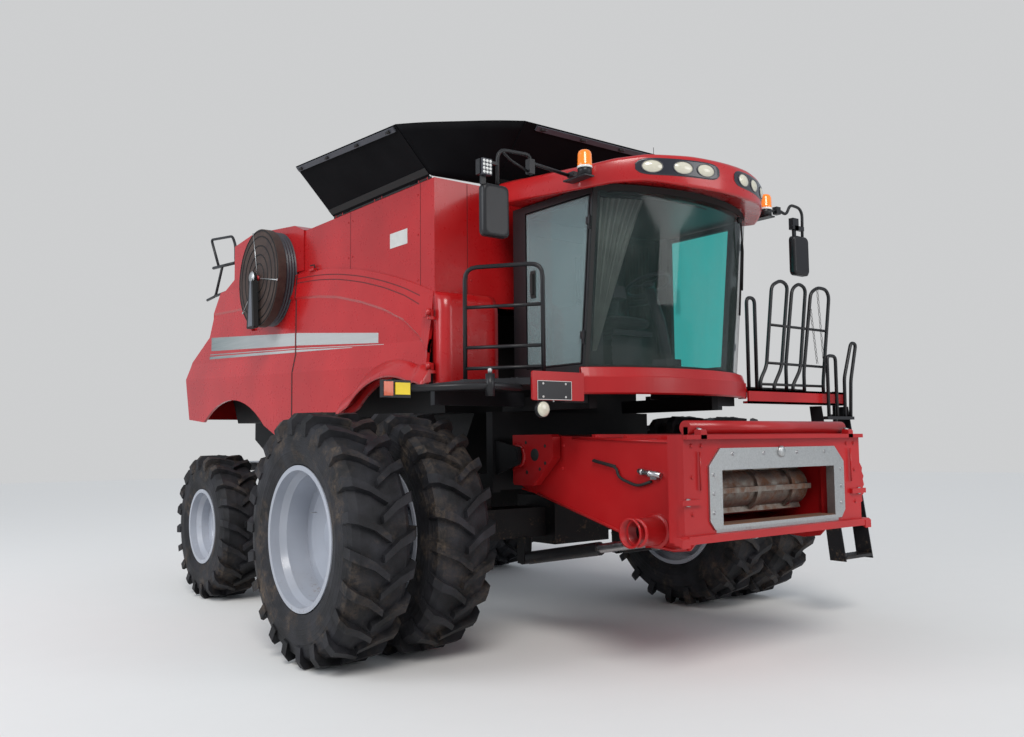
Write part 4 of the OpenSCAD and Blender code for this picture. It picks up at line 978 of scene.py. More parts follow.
def body_sides():
    """Both doors and the rear panels, with the crease, the brow over it and the wheel arches."""
    door_low = line_of([(-0.19, 2.18), *arc((0.3, 1.12), 1.15, 112, 46)[:-1], (1.16, 1.97), (2.462, 1.96)])
    rear_low = line_of([(2.47, 1.955), (2.87, 1.79), *arc((4.187, 0.488), 1.735, 125.5, 59), (5.63, 2.02),
                        (5.79, 2.559)])
    notch = line_of([(2.825, 3.60), (3.332, 2.988), (3.653, 3.008), (4.131, 3.60)])
    rear_high = line_of(REAR_TOP)
    door_y = np.unique(np.round(np.concatenate([np.linspace(-0.165, 2.462, 70), [y for y, _ in BROW]]), 4))
    rear_bends = [2.87, 3.332, 3.653, 4.70, 5.03, 5.63, 5.67]
    rear_y = np.unique(np.round(np.concatenate([np.linspace(2.47, 5.79, 90), rear_bends]), 4))
    rear = Parts()
    for side, name in SIDES:
        door = Parts()
        side_skin(door, side, door_y, door_low, door_top, line_of(BROW), 0.10)
        for z in (2.30, 2.75):
            door.turned([(0.0123, 0), (0.022, 0), (0.022, 0.06), (0.0123, 0.06)], (side * 1.632, -0.222, z), Z, 20)
            door.beside(side, (1.572, -0.212, z), (1.622, -0.112, z + 0.06))
        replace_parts(door.make("side door sheet " + name, "side_door_" + name, red, "red_paint"), "side_door_" + name)
        high = (lambda y: np.minimum(rear_high(y), notch(y))) if side < 0 else rear_high
        side_skin(rear, side, rear_y, rear_low, high,
                  lambda y: 3.236 + math.tan(math.radians(2.42)) * (y - 2.47), 0.121)
        for y in (2.5, 4.3):
            rear.beside(side, (1.2003, y, 2.6), (1.569, y + 0.05, 2.68))
    back = np.array([(4.72, 3.58), *REAR_TOP[2:], (5.63, 2.03)])
    inner = back - (0.03, 0.008)
    loop = np.vstack([back, inner[::-1]])
    xs = np.linspace(-1.565, 1.565, 30)
    shape = np.array([[(x, y, z) for x in xs] for y, z in loop])
    rear.add(shape.reshape(-1, 3), grid_faces(len(loop), len(xs), wrap_rows=True))
    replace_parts(rear.make("rear panels", "machine", red, "red_paint"), "rear_shell")


def covers():
    """The four open tank covers as tapered leaves, and the creased sheets in their corners."""
    for which in COVERS:
        hinge, up, face = cover_frame(which)
        ends = which in ("front", "rear")
        along = X if ends else Y
        if ends:
            outline = [(0.018, -0.90), (0.652, -0.90), (0.652, 0.90), (0.018, 0.90)]
            knuckles = (-0.72, 0.60)
        else:
            outline = [(0.018, -0.135), (0.52, -0.135), (0.61, 1.655), (0.018, 1.655)]
            knuckles = (0.08, 1.32)
        leaf = Parts()
        leaf.plate(outline, lambda u, v: hinge + u * up + v * along - 0.007 * face, 0.014 * face)
        frame = np.column_stack([up, along, face])
        (u0, v0), (u1, v1), (u2, v2), (u3, v3) = outline
        for share in (0.22, 0.5, 0.78):
            v = v0 + share * (v3 - v0)
            reach = u1 + share * (u2 - u1)
            leaf.box((0.05, v - 0.02, -0.016), (reach - 0.05, v + 0.02, -0.0071), frame, hinge)
        leaf.box((-0.012, v0 + 0.02, -0.004), (0.0185, v3 - 0.02, 0.004), frame, hinge)
        for start in knuckles:
            leaf.tube([hinge + start * along, hinge + (start + 0.12) * along], 0.011, 16)
            leaf.box((0, start, -0.005), (0.03, start + 0.12, 0.005), frame, hinge)
        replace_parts(leaf.make("cover leaf " + which, "cover_" + which, sheet, "black_paint"), "cover_" + which)
    flaps = Parts()
    flare = np.array([math.sin(COVER_FLARE), math.cos(COVER_FLARE)])
    for sx in (-1, 1):
        for end, wall in ((-1, TANK_FRONT), (1, TANK_REAR)):
            near, far = (0.52 if end < 0 else 0.61) * flare, 0.652 * flare
            foot = np.array([sx * 1.548, wall - end * 0.041, 3.972])
            side_top = np.array([sx * (TANK_SIDE + near[0]), wall - end * 0.041, COVER_HINGE_Z + near[1]])
            end_top = np.array([sx * 0.904, wall + end * far[0], COVER_HINGE_Z + far[1]])
            end_foot = np.array([sx * 0.904, wall + end * 0.008, 3.972])
            rows, columns = 8, 18
            share = np.linspace(0, 1, columns)[:, None]
            top = (1 - share) * side_top + share * end_top
            top = top + np.sin(math.pi * share) * (sx * 0.028, end * 0.028, 0)
            top = top + np.sin(3 * math.pi * share) * (sx * 0.012, end * 0.012, -0.004)
            low = (1 - share) * foot + share * end_foot
            skin = np.array([(1 - t) * low + t * top for t in np.linspace(0, 1, rows)]).reshape(-1, 3)
            thick = unit([sx, end, 0]) * 0.004
            flaps.add(np.vstack([skin + thick, skin - thick]), shell_faces(rows, columns), True)
    piece = flaps.make("corner sheets creased", "machine", sheet, "black_paint")
    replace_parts(piece, "corner_sheets")
    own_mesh(piece)


def rounded(path, r=0.05, n=5):
    """A path whose bends are eased by a curve (1-t)^2 a + 2 t (1-t) b + t^2 c near each corner."""
    path = [np.asarray(p, float) for p in path]
    out = [path[0]]
    for a, b, c in zip(path[:-2], path[1:-1], path[2:]):
        one = b + unit(a - b) * min(r, 0.45 * np.linalg.norm(a - b))
        two = b + unit(c - b) * min(r, 0.45 * np.linalg.norm(c - b))
        out += [(1 - t) ** 2 * one + 2 * t * (1 - t) * b + t * t * two for t in np.linspace(0, 1, n)]
    return out + [path[-1]]


def rails():
    """Handrails of both walkways and the engine deck, as bent tubes with flanged feet and chains."""
    made = Parts()
    a, b, up = np.array([-1.72, -0.88, LANDING_Z]), np.array([-1.36, -1.385, LANDING_Z]), 0.87 * Z
    made.tube(rounded([a, a + up, b + up, b], 0.10), 0.017, 12)
    for z in (0.09, 0.25, 0.56):
        made.tube([a + (0, 0, z), b + (0, 0, z)], 0.014, 10)
    front, foot = -1.396, 2.1503
    hoops = [[(1.040, foot), (1.040, 2.985), (1.155, 2.985), (1.155, foot)],
             [(1.207, foot), (1.207, 2.235), (1.305, 2.367), (1.419, 3.131), (1.557, 3.192), (1.663, 3.154),
              (1.531, 2.363), (1.410, 2.195), (1.410, foot)],
             [(1.598, foot), (1.598, 2.389), (1.733, 3.125), (1.842, 3.190), (1.951, 3.150), (1.824, 2.358),
              (1.698, 2.200), (1.698, foot)],
             [(1.879, foot), (1.879, 2.333), (2.033, 3.115), (2.150, 3.178), (2.290, 3.172), (2.340, 3.105),
              (2.190, 2.245), (2.190, foot)]]
    for hoop in hoops:
        made.tube(rounded([(x, front, z) for x, z in hoop], 0.055), 0.017, 12)
    for (x0, z0), (x1, z1) in (((1.366, 2.758), (2.277, 2.754)), ((1.312, 2.40), (2.205, 2.395)),
                               ((1.207, 2.20), (2.19, 2.205))):
        made.tube([(x0, front, z0), (x1, front, z1)], 0.013, 10)
    rail = [(4.34, 3.66), (4.34, 3.79), (4.436, 3.956), (4.444, 4.17), (4.55, 4.305), (5.29, 4.39), (5.01, 3.986)]
    made.tube(rounded([(-1.48, y, z) for y, z in rail], 0.06), 0.017, 12)
    made.tube([(-1.48, 4.45, 3.95), (-1.48, 5.20, 3.998)], 0.020, 12)
    made.tube(rounded([(-1.48, y, z) for y, z in [(4.88, 3.978), (5.11, 3.617), (5.41, 3.600)]], 0.05), 0.017, 12)
    made.tube([(-1.48, 4.72, 3.621), (-1.48, 5.11, 3.617)], 0.017, 12)
    for foot_at in (a, b):
        made.turned([(0, 0.0), (0.038, 0.0), (0.038, 0.008), (0.0, 0.008)], foot_at + 0.0003 * Z, Z, 20)
    for start, stop in (((1.98, 2.95), (2.06, 2.42)), ((2.10, 3.16), (2.17, 2.42))):
        share = np.linspace(0, 1, 26)
        xs = start[0] + (stop[0] - start[0]) * share
        zs = start[1] + (stop[1] - start[1]) * share
        chain = np.column_stack([xs, np.full(len(share), front - 0.03), zs])
        for i, (here, there) in enumerate(zip(chain[:-1], chain[1:])):
            turn = X * 0.008 if i % 2 else Y * 0.008
            made.tube([here + turn, there + turn], 0.0028, 6)
            made.tube([here - turn, there - turn], 0.0028, 6)
    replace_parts(made.make("handrails", "machine", black, "black_paint"), "railings")


def walkways():
    """Both landings with a raised tread, their braces and the marker lamp arm on the right."""
    made = Parts()
    right = [(-0.993, -0.35), (-1.72, -0.35), (-1.78, -0.95), (-1.51, -1.405), (-0.993, -1.405)]
    made.plate(right, lambda x, y: (x, y, LANDING_Z - 0.05), 0.05 * Z)
    made.box((0.993, -1.3617, LANDING_Z - 0.05), (1.90, -0.35, LANDING_Z))
    for i in range(16):
        y = -1.32 + 0.06 * i
        made.box((1.03, y, LANDING_Z), (1.86, y + 0.02, LANDING_Z + 0.0065))
        made.box((-1.56 if y < -1.2 else -1.66, y, LANDING_Z), (-1.03, y + 0.02, LANDING_Z + 0.0065))
    for low, high in (((-1.70, -0.42, 2.0), (-0.78, -0.36, 2.12)), ((0.78, -0.42, 2.0), (1.85, -0.36, 2.12)),
                      ((-1.025, -1.24, 2.0), (-0.78, -1.18, 2.1197)), ((0.78, -1.24, 2.0), (1.025, -1.18, 2.1197)),
                      ((2.44, -1.3617, 2.03), (2.60, -1.24, 2.08)), ((-1.42, -1.40, 1.99), (-1.38, -1.38, 2.125))):
        made.box(low, high)
    made.tube([(2.6, -1.25, 1.62), (2.6, -1.25, 2.17)], 0.025, 20)
    made.tube(rounded([(-1.53, -1.32, 2.10), (-1.825, -1.33, 2.108), (-2.43, -1.206, 2.074)], 0.08), 0.026, 16)
    made.turned([(0, 0), (0.034, 0), (0.034, 0.16), (0, 0.16)], (-1.825, -1.34, 2.03), Z, 20)
    made.box((-2.64, -1.225, 2.01), (-2.42, -1.185, 2.13))
    made.turned([(0, 0), (0.04, 0), (0.062, 0.02), (0.062, 0.05), (0.056, 0.05), (0.056, 0.04), (0, 0.04)],
                (-1.40, -1.375, 1.938), -Y, 32)
    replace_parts(made.make("walkways", "machine", black, "black_paint"), "platforms")
    pin = Parts()
    pin.turned([(0, 0), (0.016, 0), (0.016, 0.035), (0.008, 0.042), (0, 0.042)], (-1.825, -1.34, 2.19), Z, 16)
    pin.bolts([(-1.30, -1.4234, 1.998)], -Y, 0.005, 0.004)
    pin.make("arm pin", "machine", galvanised, "galvanised")


def bumper():
    """Red bumper under the windscreen: a profile carried along the bow, with the beam and plate carrier beside it."""
    made = Parts()
    xs = np.linspace(-0.985, 0.985, 41)
    ys = np.array([bow(x, 0.985, 1.40, 0.29) for x in xs])
    profile = [(0.012, 2.060), (0, 2.072), (0, 2.194), (0.004, 2.202), (0.026, 2.268), (0.032, 2.272), (0.05, 2.272),
               (0.05, 2.210), (0.026, 2.190), (0.026, 2.060)]
    shape = np.array([np.column_stack([xs * (1 - d * 0.3), ys + d, np.full_like(xs, z)]) for d, z in profile])
    made.add(shape.reshape(-1, 3), grid_faces(len(profile), len(xs), wrap_rows=True))
    for s in (-1, 1):
        made.beside(s, (0.955, -1.402, 2.06), (0.9927, -1.34, 2.20))
    for low, high in (((0.993, -1.43, 2.02), (2.5, -1.41, 2.15)), ((0.993, -1.43, 2.13), (2.5, -1.362, 2.15)),
                      ((0.993, -1.43, 2.02), (2.5, -1.362, 2.04))):
        made.box(low, high)
    made.plate([(-1.49, 2.004), (-1.0, 2.004), (-0.993, 2.012), (-0.993, 2.22), (-1.49, 2.22), (-1.50, 2.21),
                (-1.50, 2.014)], lambda x, z: (x, -1.423, z), (0, 0.0177, 0))
    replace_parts(made.make("red bumper", "machine", red_low, "red_paint"), "cab_apron")


def header_face():
    """Face plate round the crop opening, its lips, beams, hooks and lock quadrant, and the galvanised frame."""
    made = Parts()

    def window(x, z0, z1, hx, h0, h1, y0, y1):
        for low, high in (((-x, y0, z0), (-hx, y1, z1)), ((hx, y0, z0), (x, y1, z1)), ((-hx, y0, z0), (hx, y1, h0)),
                          ((-hx, y0, h1), (hx, y1, z1))):
            made.box(low, high)

    window(1.05, 1.005, 1.735, 0.73, 1.06, 1.54, -2.46, -2.40)
    window(0.82, 1.0, 1.735, 0.73, 1.05, 1.545, -2.40, -2.3103)
    made.box((-1.05, -2.50, 1.705), (1.05, -2.458, 1.735))
    made.box((-1.05, -2.496, 1.005), (1.05, -2.458, 1.058))
    made.tube([(-0.93, -2.375, 1.785), (0.93, -2.375, 1.785)], 0.05, 28)
    made.box((-0.93, -2.40, 1.73), (0.93, -2.36, 1.79))
    hook = [(-2.50, 1.706), (-2.50, 1.76), (-2.488, 1.772), (-2.44, 1.772), (-2.44, 1.734), (-2.47, 1.734),
            (-2.482, 1.722), (-2.482, 1.706)]
    corner = [(-2.50, 0.985), (-2.50, 1.045), (-2.48, 1.06), (-2.43, 1.06), (-2.43, 1.005), (-2.47, 1.0)]
    for s in (-1, 1):
        made.plate(hook, lambda y, z: (s * 0.85, y, z), (s * 0.06, 0, 0))
        made.plate(corner, lambda y, z: (s * 1.042, y, z), (s * 0.078, 0, 0))
        made.beside(s, (1.02, -2.41, 1.005), (1.04, -2.31, 1.735))
        made.beside(s, (0.90, -2.484, 1.262), (1.09, -2.458, 1.300))
        made.tube([(s * 0.90, -2.478, 1.62), (s * 0.90, -2.478, 1.36)], 0.007, 8)
    teeth = [(0, 1.10), (0.03, 1.12), (0.06, 1.18), (0.088, 1.19), (0.082, 1.235), (0.108, 1.25), (0.10, 1.30),
             (0.118, 1.32), (0.104, 1.365), (0.116, 1.39), (0.092, 1.43), (0.098, 1.46), (0.066, 1.50), (0.04, 1.57),
             (0, 1.64)]
    made.plate(teeth, lambda x, z: (1.048 + x, -2.41, z), (0, -0.012, 0))
    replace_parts(made.make("header face", "feeder", red_low, "red_paint"), "feeder_face")
    ring = Parts()
    for s in (-1, 1):
        ring.plate([(0.805, 1.145), (0.755, 1.085), (0.67, 1.085), (0.67, 1.642), (0.685, 1.642), (0.805, 1.522)],
                   lambda x, z: (s * x, -2.4743, z), (0, 0.014, 0))
        ring.beside(s, (0.67, -2.4603, 1.0603), (0.7297, -2.404, 1.5397))
    for z0, z1 in ((1.085, 1.11), (1.49, 1.642)):
        ring.box((-0.67, -2.4743, z0), (0.67, -2.4603, z1))
    for z0, z1 in ((1.0603, 1.11), (1.49, 1.5397)):
        ring.box((-0.67, -2.4603, z0), (0.67, -2.404, z1))
    ring.turned([(0, 0.022), (0.030, 0.022), (0.042, 0.012), (0.042, 0)], (0, -2.474, 1.610), -Y, 28)
    ring.make("galvanised frame", "feeder", galvanised, "galvanised")


def roof():
    """Roof with its bowed, crowned visor: a ring of wall heights over the plan, closed by a domed top.

    Heights rise by the tilt towards the rear: z = h + (y + 1.5) tan(5.4 degrees).
    """
    tilt = math.tan(math.radians(5.4))
    half = VISOR[0]
    xs = half * np.sin(np.linspace(-math.pi / 2, math.pi / 2, 61))
    front = np.column_stack([xs, [bow(x, *VISOR) for x in xs]])
    right = np.column_stack([np.full(12, half), np.linspace(-1.45, -0.44, 12)])
    back = np.column_stack([np.linspace(1.02, -1.02, 20), np.full(20, -0.40)])
    plan = np.vstack([front, right, back, right[::-1] * (-1, 1)])
    size = np.abs(plan[:, 0]) / half
    low = np.interp(size, [0, 0.33, 0.66, 0.85, 1], [3.690, 3.690, 3.706, 3.680, 3.632])
    top = np.interp(size, [0, 0.33, 0.66, 0.85, 1], [3.938, 3.938, 3.918, 3.872, 3.812])
    centre = np.array([0, -1.10])
    rows = []
    for inward, share, lift in ((0.18, 0.0, 0.012), (0.02, 0.0, 0), (0.004, 0.03, 0), (0, 0.10, 0), (0, 0.5, 0),
                                (0, 0.84, 0), (0.006, 0.94, 0), (0.022, 1.0, 0), (0.10, 1.0, 0.018), (0.30, 1.0, 0.034),
                                (0.6, 1.0, 0.046), (0.999, 1.0, 0.05)):
        at = centre + (plan - centre) * (1 - inward)
        height = low + (top - low) * share + lift
        if inward > 0.05 and share > 0.5:
            height = height + (3.925 - height) * min(1, inward * 1.4)
        rows.append(np.column_stack([at, height + (plan[:, 1] * (1 - inward) + centre[1] * inward + 1.5) * tilt]))
    ceiling = 3.712
    rows[0][:, 2] = ceiling
    rows.append(np.column_stack([centre + (plan - centre) * 0.999 * 0.02, np.full(len(plan), ceiling)]))
    shape = np.array(rows)
    made = Parts()
    made.add(shape.reshape(-1, 3), grid_faces(len(rows), len(plan), wrap_rows=True, wrap_columns=True), True)
    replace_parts(made.make("visor roof", "machine", red, "red_paint"), "cab_roof")
    pods = Parts()
    for s in (-1, 1):
        across = np.linspace(0.09, 0.77, 30)
        half = 0.068 * np.sqrt(np.clip(1 - ((across - 0.43) / 0.345) ** 8, 0.02, 1))
        grid = []
        for v, out in ((-1, -0.002), (-0.96, 0.004), (-0.8, 0.0045), (0.8, 0.0045), (0.96, 0.004), (1, -0.002)):
            grid += [on_visor(s * x, POD_Z + v * h, out)[0] for x, h in zip(across, half)]
        pods.add(grid, grid_faces(6, 30), True)
    pods.make("lamp pods", "machine", plain("pod_black", (0.012, 0.013, 0.022), 0.25, Coat_Weight=0.5), "black_paint")


def mirrors():
    """Mirrors on bent arms, beacon stems and the work lamp's bar, with rounded housings."""
    made = Parts()
    for s in (-1, 1):
        made.beside(s, (1.0603, -1.65, 3.69), (1.155, -1.40, 3.702))
        made.turned([(0, 0), (0.055, 0), (0.055, 0.055), (0.05, 0.06), (0.048, 0.175), (0, 0.175)],
                    (s * 1.1003, -1.59, 3.70), Z, 28)
    arms = [[(-1.1203, 3.745), (-1.49, 3.775), (-1.505, 3.834), (-1.759, 3.824), (-1.80, 3.78), (-1.803, 3.54)],
            [(1.1203, 3.76), (1.522, 3.858), (1.645, 3.827), (1.714, 3.935), (1.857, 3.926), (1.903, 3.874),
             (1.893, 3.62)]]
    for arm in arms:
        made.tube(rounded([(x, -1.42, z) for x, z in arm], 0.045), 0.014, 12)
        x, z = arm[0]
        made.beside(math.copysign(1, x), (1.0603, -1.48, z - 0.02), (abs(x), -1.41, z + 0.02))
    made.tube(rounded([(-1.50, -1.42, 3.70), (-1.685, -1.42, 3.763), (-1.755, -1.42, 3.818)], 0.05), 0.010, 10)
    for low, high in (((-1.52, -1.445, 3.69), (-1.47, -1.395, 3.80)), ((1.47, -1.445, 3.81), (1.53, -1.395, 3.88)),
                      ((1.755, -1.44, 3.70), (1.90, -1.40, 3.74)), ((-1.95, -1.432, 3.70), (-1.795, -1.408, 3.722))):
        made.box(low, high)
    for x, z, stem, z1 in ((-1.833, 3.36, -1.930, 3.61), (1.833, 3.45, 1.770, 3.70)):
        across, down = 0.116, 0.19
        rows = []
        for inset, y in ((0.030, -1.452), (0.012, -1.455), (0.0, -1.440), (0.0, -1.392), (0.006, -1.386),
                         (0.02, -1.385)):
            a, b, r = across - inset, down - inset, 0.04
            ring = [(x + sx * (a - r) + r * math.cos(t), y, z + sz * (b - r) + r * math.sin(t))
                    for sx, sz, t0 in ((1, 1, 0), (-1, 1, 90), (-1, -1, 180), (1, -1, 270))
                    for t in np.radians(np.linspace(t0, t0 + 90, 6))]
            rows.append(ring)
        n = len(rows[0])
        start = made.count
        made.add(np.array(rows).reshape(-1, 3), grid_faces(len(rows), n, wrap_columns=True), True)
        made.faces += [list(range(start, start + n)), list(range(start + 5 * n, start + 6 * n))]
        made.smooth += [False, False]
        made.box((stem - 0.045, -1.44, z1), (stem + 0.045, -1.39, z1 + 0.11))
        made.box((stem - 0.02, -1.425, z + 0.18), (stem + 0.02, -1.405, z1 + 0.005))
    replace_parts(made.make("mirrors and stems", "machine", black, "black_paint"), "mirrors_lamps")


def entry_ladder():
    """Swinging ladder: two cheeks, five treads with raised studs, hinge eyes and two grab loops."""
    made = Parts()
    cheek = [(-1.30, 2.01), (-1.43, 2.01), (-1.64, 0.54), (-1.47, 0.54)]
    for x in (2.09, 2.54):
        made.plate(cheek, lambda y, z: (x, y, z), (0.012, 0, 0))
    for i in range(5):
        z, y = 0.56 + 0.3 * i, -1.60 + 0.044 * i
        made.box((2.10, y - 0.04, z), (2.542, y + 0.13, z + 0.026))
        for j in range(9):
            made.box((2.13 + 0.045 * j, y - 0.03, z + 0.026), (2.15 + 0.045 * j, y + 0.12, z + 0.031))
    for z in (1.68, 1.90):
        made.turned([(0.0253, 0), (0.042, 0), (0.042, 0.04), (0.0253, 0.04)], (2.6, -1.25, z), Z, 24)
        made.box((2.542, -1.36, z), (2.592, -1.27, z + 0.04))
    made.tube(rounded([(2.15, -1.475, 1.895), (2.15, -1.475, 2.50), (2.29, -1.475, 2.50), (2.29, -1.475, 1.895)], 0.05),
              0.017, 12)
    made.tube(rounded([(2.425, -1.475, 1.895), (2.432, -1.475, 2.29), (2.57, -1.475, 2.65), (2.655, -1.475, 2.64),
                       (2.545, -1.475, 2.27), (2.52, -1.475, 1.895)], 0.045), 0.017, 12)
    made.box((2.10, -1.495, 1.88), (2.552, -1.43, 1.91))
    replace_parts(made.make("entry ladder", "ladder", black, "black_paint"), "ladder")


def feeder():
    """Feeder house: skirted side sheets, roof and floor, gear covers with their bores, the tube stub and lift lugs."""
    made = Parts()
    side = [(-0.37, 1.755), (-1.01, 1.737), (-2.31, 1.693), (-2.31, 0.975), (-2.26, 0.925), (-2.113, 0.905),
            (-1.872, 0.923), (-1.572, 0.999), (-0.569, 1.255), (-0.34, 1.33)]
    for s in (-1, 1):
        made.plate(side, lambda y, z: (s * 0.768, y, z), (s * 0.012, 0, 0))
        ridge = [(-0.60, 1.262), (-1.572, 1.016), (-1.872, 0.940), (-2.11, 0.922), (-2.24, 0.938)]
        made.tube([(s * 0.782, y, z) for y, z in ridge], 0.010, 8)
        made.tube([(s * 0.782, -1.05, 1.722), (s * 0.782, -2.30, 1.681)], 0.010, 8)
        cover = [(-0.37, 1.755), (-0.88, 1.755), (-0.90, 1.735), (-0.90, 1.56), (-0.64, 1.33), (-0.39, 1.33),
                 (-0.37, 1.35)]
        made.plate(cover, lambda y, z: (s * 0.79, y, z), (s * 0.08, 0, 0))
        made.turned([(0.10, 0.0), (0.10, 0.012), (0.088, 0.018), (0.063, 0.018), (0.063, 0.0)], (s * 0.87, *GEAR_BORE),
                    (s, 0, 0), 36)
        for x in (0.52, 0.62):
            made.plate([(-1.65, 1.075), (-1.85, 1.04), (-1.82, 0.90), (-1.70, 0.89)], lambda y, z: (s * x, y, z),
                       (s * 0.024, 0, 0))
        made.tube([(s * 0.50, -1.758, 0.955), (s * 0.66, -1.758, 0.955)], 0.024, 20)
    made.plate([(-0.37, 1.755), (-1.01, 1.737), (-2.31, 1.693), (-2.31, 1.681), (-1.01, 1.725), (-0.37, 1.743)],
               lambda y, z: (-0.768, y, z), (1.536, 0, 0))
    made.plate([(-0.36, 1.300), (-2.31, 1.0), (-2.31, 0.988), (-0.36, 1.288)], lambda y, z: (-0.768, y, z),
               (1.536, 0, 0))
    for y in (-1.25, -1.60, -1.95, -2.2):
        z = 1.737 - 0.0338 * (-1.01 - y)
        made.box((-0.74, y - 0.02, z - 0.004), (0.74, y + 0.02, z + 0.022))
    made.turned([(0.100, 0), (0.100, 0.262), (0.109, 0.266), (0.109, 0.278), (0.093, 0.278), (0.093, 0.03),
                 (0.03, 0.03)], (-0.78, *TUBE_STUB), -X, 44)
    made.turned([(0.128, 0), (0.128, 0.012), (0.10, 0.014)], (-0.78, *TUBE_STUB), -X, 44)
    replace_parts(made.make("feeder house sheets", "feeder", red_low, "red_paint"), "feeder_house")
    # Painted shade: black discs in the cover holes and in the tube stub's mouth stand in for the shade inside them;
    # each bore gets a black domed cap.
    holes = Parts()
    for s in (-1, 1):
        for y, z, r in ((-0.665, 1.588, 0.05), (-0.80, 1.66, 0.012), (-0.80, 1.52, 0.012), (-0.55, 1.69, 0.012),
                        (-0.56, 1.44, 0.014), (-0.73, 1.47, 0.012)):
            holes.turned([(0, 0.0015), (r, 0.0015), (r + 0.003, 0)], (s * 0.8702, y, z), s * X, 28)
        holes.turned([(0, 0.0), (0.058, 0.0), (0.058, 0.014), (0.03, 0.022), (0, 0.022)], (s * 0.87, *GEAR_BORE),
                     (s, 0, 0), 28)
    holes.turned([(0, 0.0), (0.092, 0.0)], (-0.9, *TUBE_STUB), -X, 36)
    holes.make("gear cover hole shade", "feeder", rubber, "black_paint")


def screen_housing():
    """Ribbed drum behind the rotary screen, its wall plate and cowl, the hub and the dark suction wand."""
    made = Parts()
    y0, z0 = AIR_SCREEN_Y, AIR_SCREEN_Z
    at = (-TANK_SIDE, y0, z0)
    profile = [(0.49, 0.0), (0.525, 0.0)]
    for i in range(5):
        x = 0.015 + 0.031 * i
        profile += [(0.525, x), (0.512, x + 0.006), (0.512, x + 0.018), (0.525, x + 0.026)]
    drum = Parts()
    drum.turned(profile + [(0.525, 0.168), (0.49, 0.168)], at, -X, 72)
    drum.make("screen drum", "machine", plastic, "dark_steel")
    made.turned([(0.0, 0.0), (0.03, 0.0), (0.03, 0.28), (0, 0.28)], at, -X, 20)
    made.box((-1.56, 3.00, 3.00), (-1.541, 3.04, 4.04))
    cowl = [(2.34, 3.90), (2.332, 3.962), (2.556, 4.048), (3.683, 4.167), (4.273, 4.112), (4.273, 3.55)]
    made.plate(cowl, lambda y, z: (-1.541, y, z), (0.361, 0, 0))
    made.plate([(2.325, 3.53), (2.547, 3.53), (2.547, 3.10), (3.50, 3.10), (4.15, 3.42), (4.273, 3.70), (4.273, 4.112),
                (3.683, 4.167), (2.556, 4.048), (2.332, 3.962)], lambda y, z: (-1.541, y, z), (-0.013, 0, 0))
    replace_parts(made.make("screen housing drum", "machine", red, "red_paint"), "screen_housing")
    shell = Parts()
    shell.plate([(-0.036, 0.034), (0.036, 0.034), (0.046, 0.02), (0.102, -0.545), (0.088, -0.56), (-0.088, -0.56),
                 (-0.102, -0.545), (-0.046, 0.02)], lambda u, v: (-1.856, y0 + u, z0 + v), (0.054, 0, 0))
    shell.turned([(0.03, 0.0), (0.062, 0.0), (0.062, 0.032), (0, 0.036)], (-1.812, y0, z0), -X, 28)
    shell.make("wand shell", "machine", rubber, "black_paint")
    wand = Parts()
    wand.plate([(-0.015, 0.00), (0.015, 0.0), (0.06, -0.54), (-0.06, -0.54)],
               lambda u, v: (-1.8562, y0 + u, z0 + v), (-0.003, 0, 0))
    wand.make("wand face", "machine", plain("wand_face", (0.13, 0.14, 0.16), 0.5), "black_paint")


def screen_rings():
    """Raised rings on the rotary screen, each a low ridge turned about its axis."""
    made = Parts()
    for r in (0.16, 0.26, 0.36, 0.46, 0.525):
        made.turned([(r - 0.007, 0), (r - 0.004, 0.006), (r + 0.004, 0.006), (r + 0.007, 0)],
                    (-1.7702, AIR_SCREEN_Y, AIR_SCREEN_Z), -X, 72)
    made.make("screen rings", "air_screen", dark, "dark_steel")


def fender_lips():
    """A flared lip over each front wheel arch: a rolled section carried along the arch."""
    count = 50
    ys = np.linspace(-0.24, 1.30, count)
    top = line_of([(-0.24, 2.185), (-0.10, 2.235), *arc((0.36, 1.17), 1.13, 112, 52), (1.16, 2.03), (1.30, 1.975)])
    zs = top(ys)
    for side, name in SIDES:
        section = [(1.6205, 0.125), (1.632, 0.124), (1.688, 0.030), (1.708, -0.004), (1.710, -0.032), (1.700, -0.032),
                   (1.696, -0.010), (1.680, 0.002), (1.6205, 0.012)]
        shape = np.array([np.column_stack([np.full_like(ys, side * x), ys, zs + h]) for x, h in section])
        lip = Parts()
        lip.add(shape.reshape(-1, 3), grid_faces(len(section), len(ys), wrap_rows=True), True)
        lip.faces += [[i * count + end for i in range(len(section))] for end in (0, count - 1)]
        lip.smooth += [False, False]
        lip.make("fender lip " + name, "side_door_" + name, red, "red_paint")
        # Painted shade: the black strips along the door's rear edge stand in for the shadow in the gap to the rear
        # panel.
        gasket_and_gap_shade = Parts()
        for y0, y1, z0, z1, x in ((2.440, 2.462, 1.962, 2.44, 1.6205), (2.440, 2.462, 2.65, 3.225, 1.5785)):
            gasket_and_gap_shade.plate([(y0, z0), (y1, z0), (y1, z1), (y0, z1)], lambda y, z: (side * x, y, z), (side * 0.0012, 0, 0))
        gasket_and_gap_shade.plate([(2.440, 2.445), (2.462, 2.445), (2.462, 2.649), (2.440, 2.649)],
                     lambda y, z: (side * (1.6205 - 0.042 * (z - 2.445) / 0.204), y, z), (side * 0.0012, 0, 0))
        gasket_and_gap_shade.plate([(2.440, 3.24), (2.462, 3.24), (2.462, 3.485), (2.440, 3.485)],
                     lambda y, z: (side * (1.5945 - 0.10 * (z - 3.236)), y, z), (side * 0.0012, 0, 0))
        gasket_and_gap_shade.make("door gasket " + name, "side_door_" + name, rubber, "black_paint")


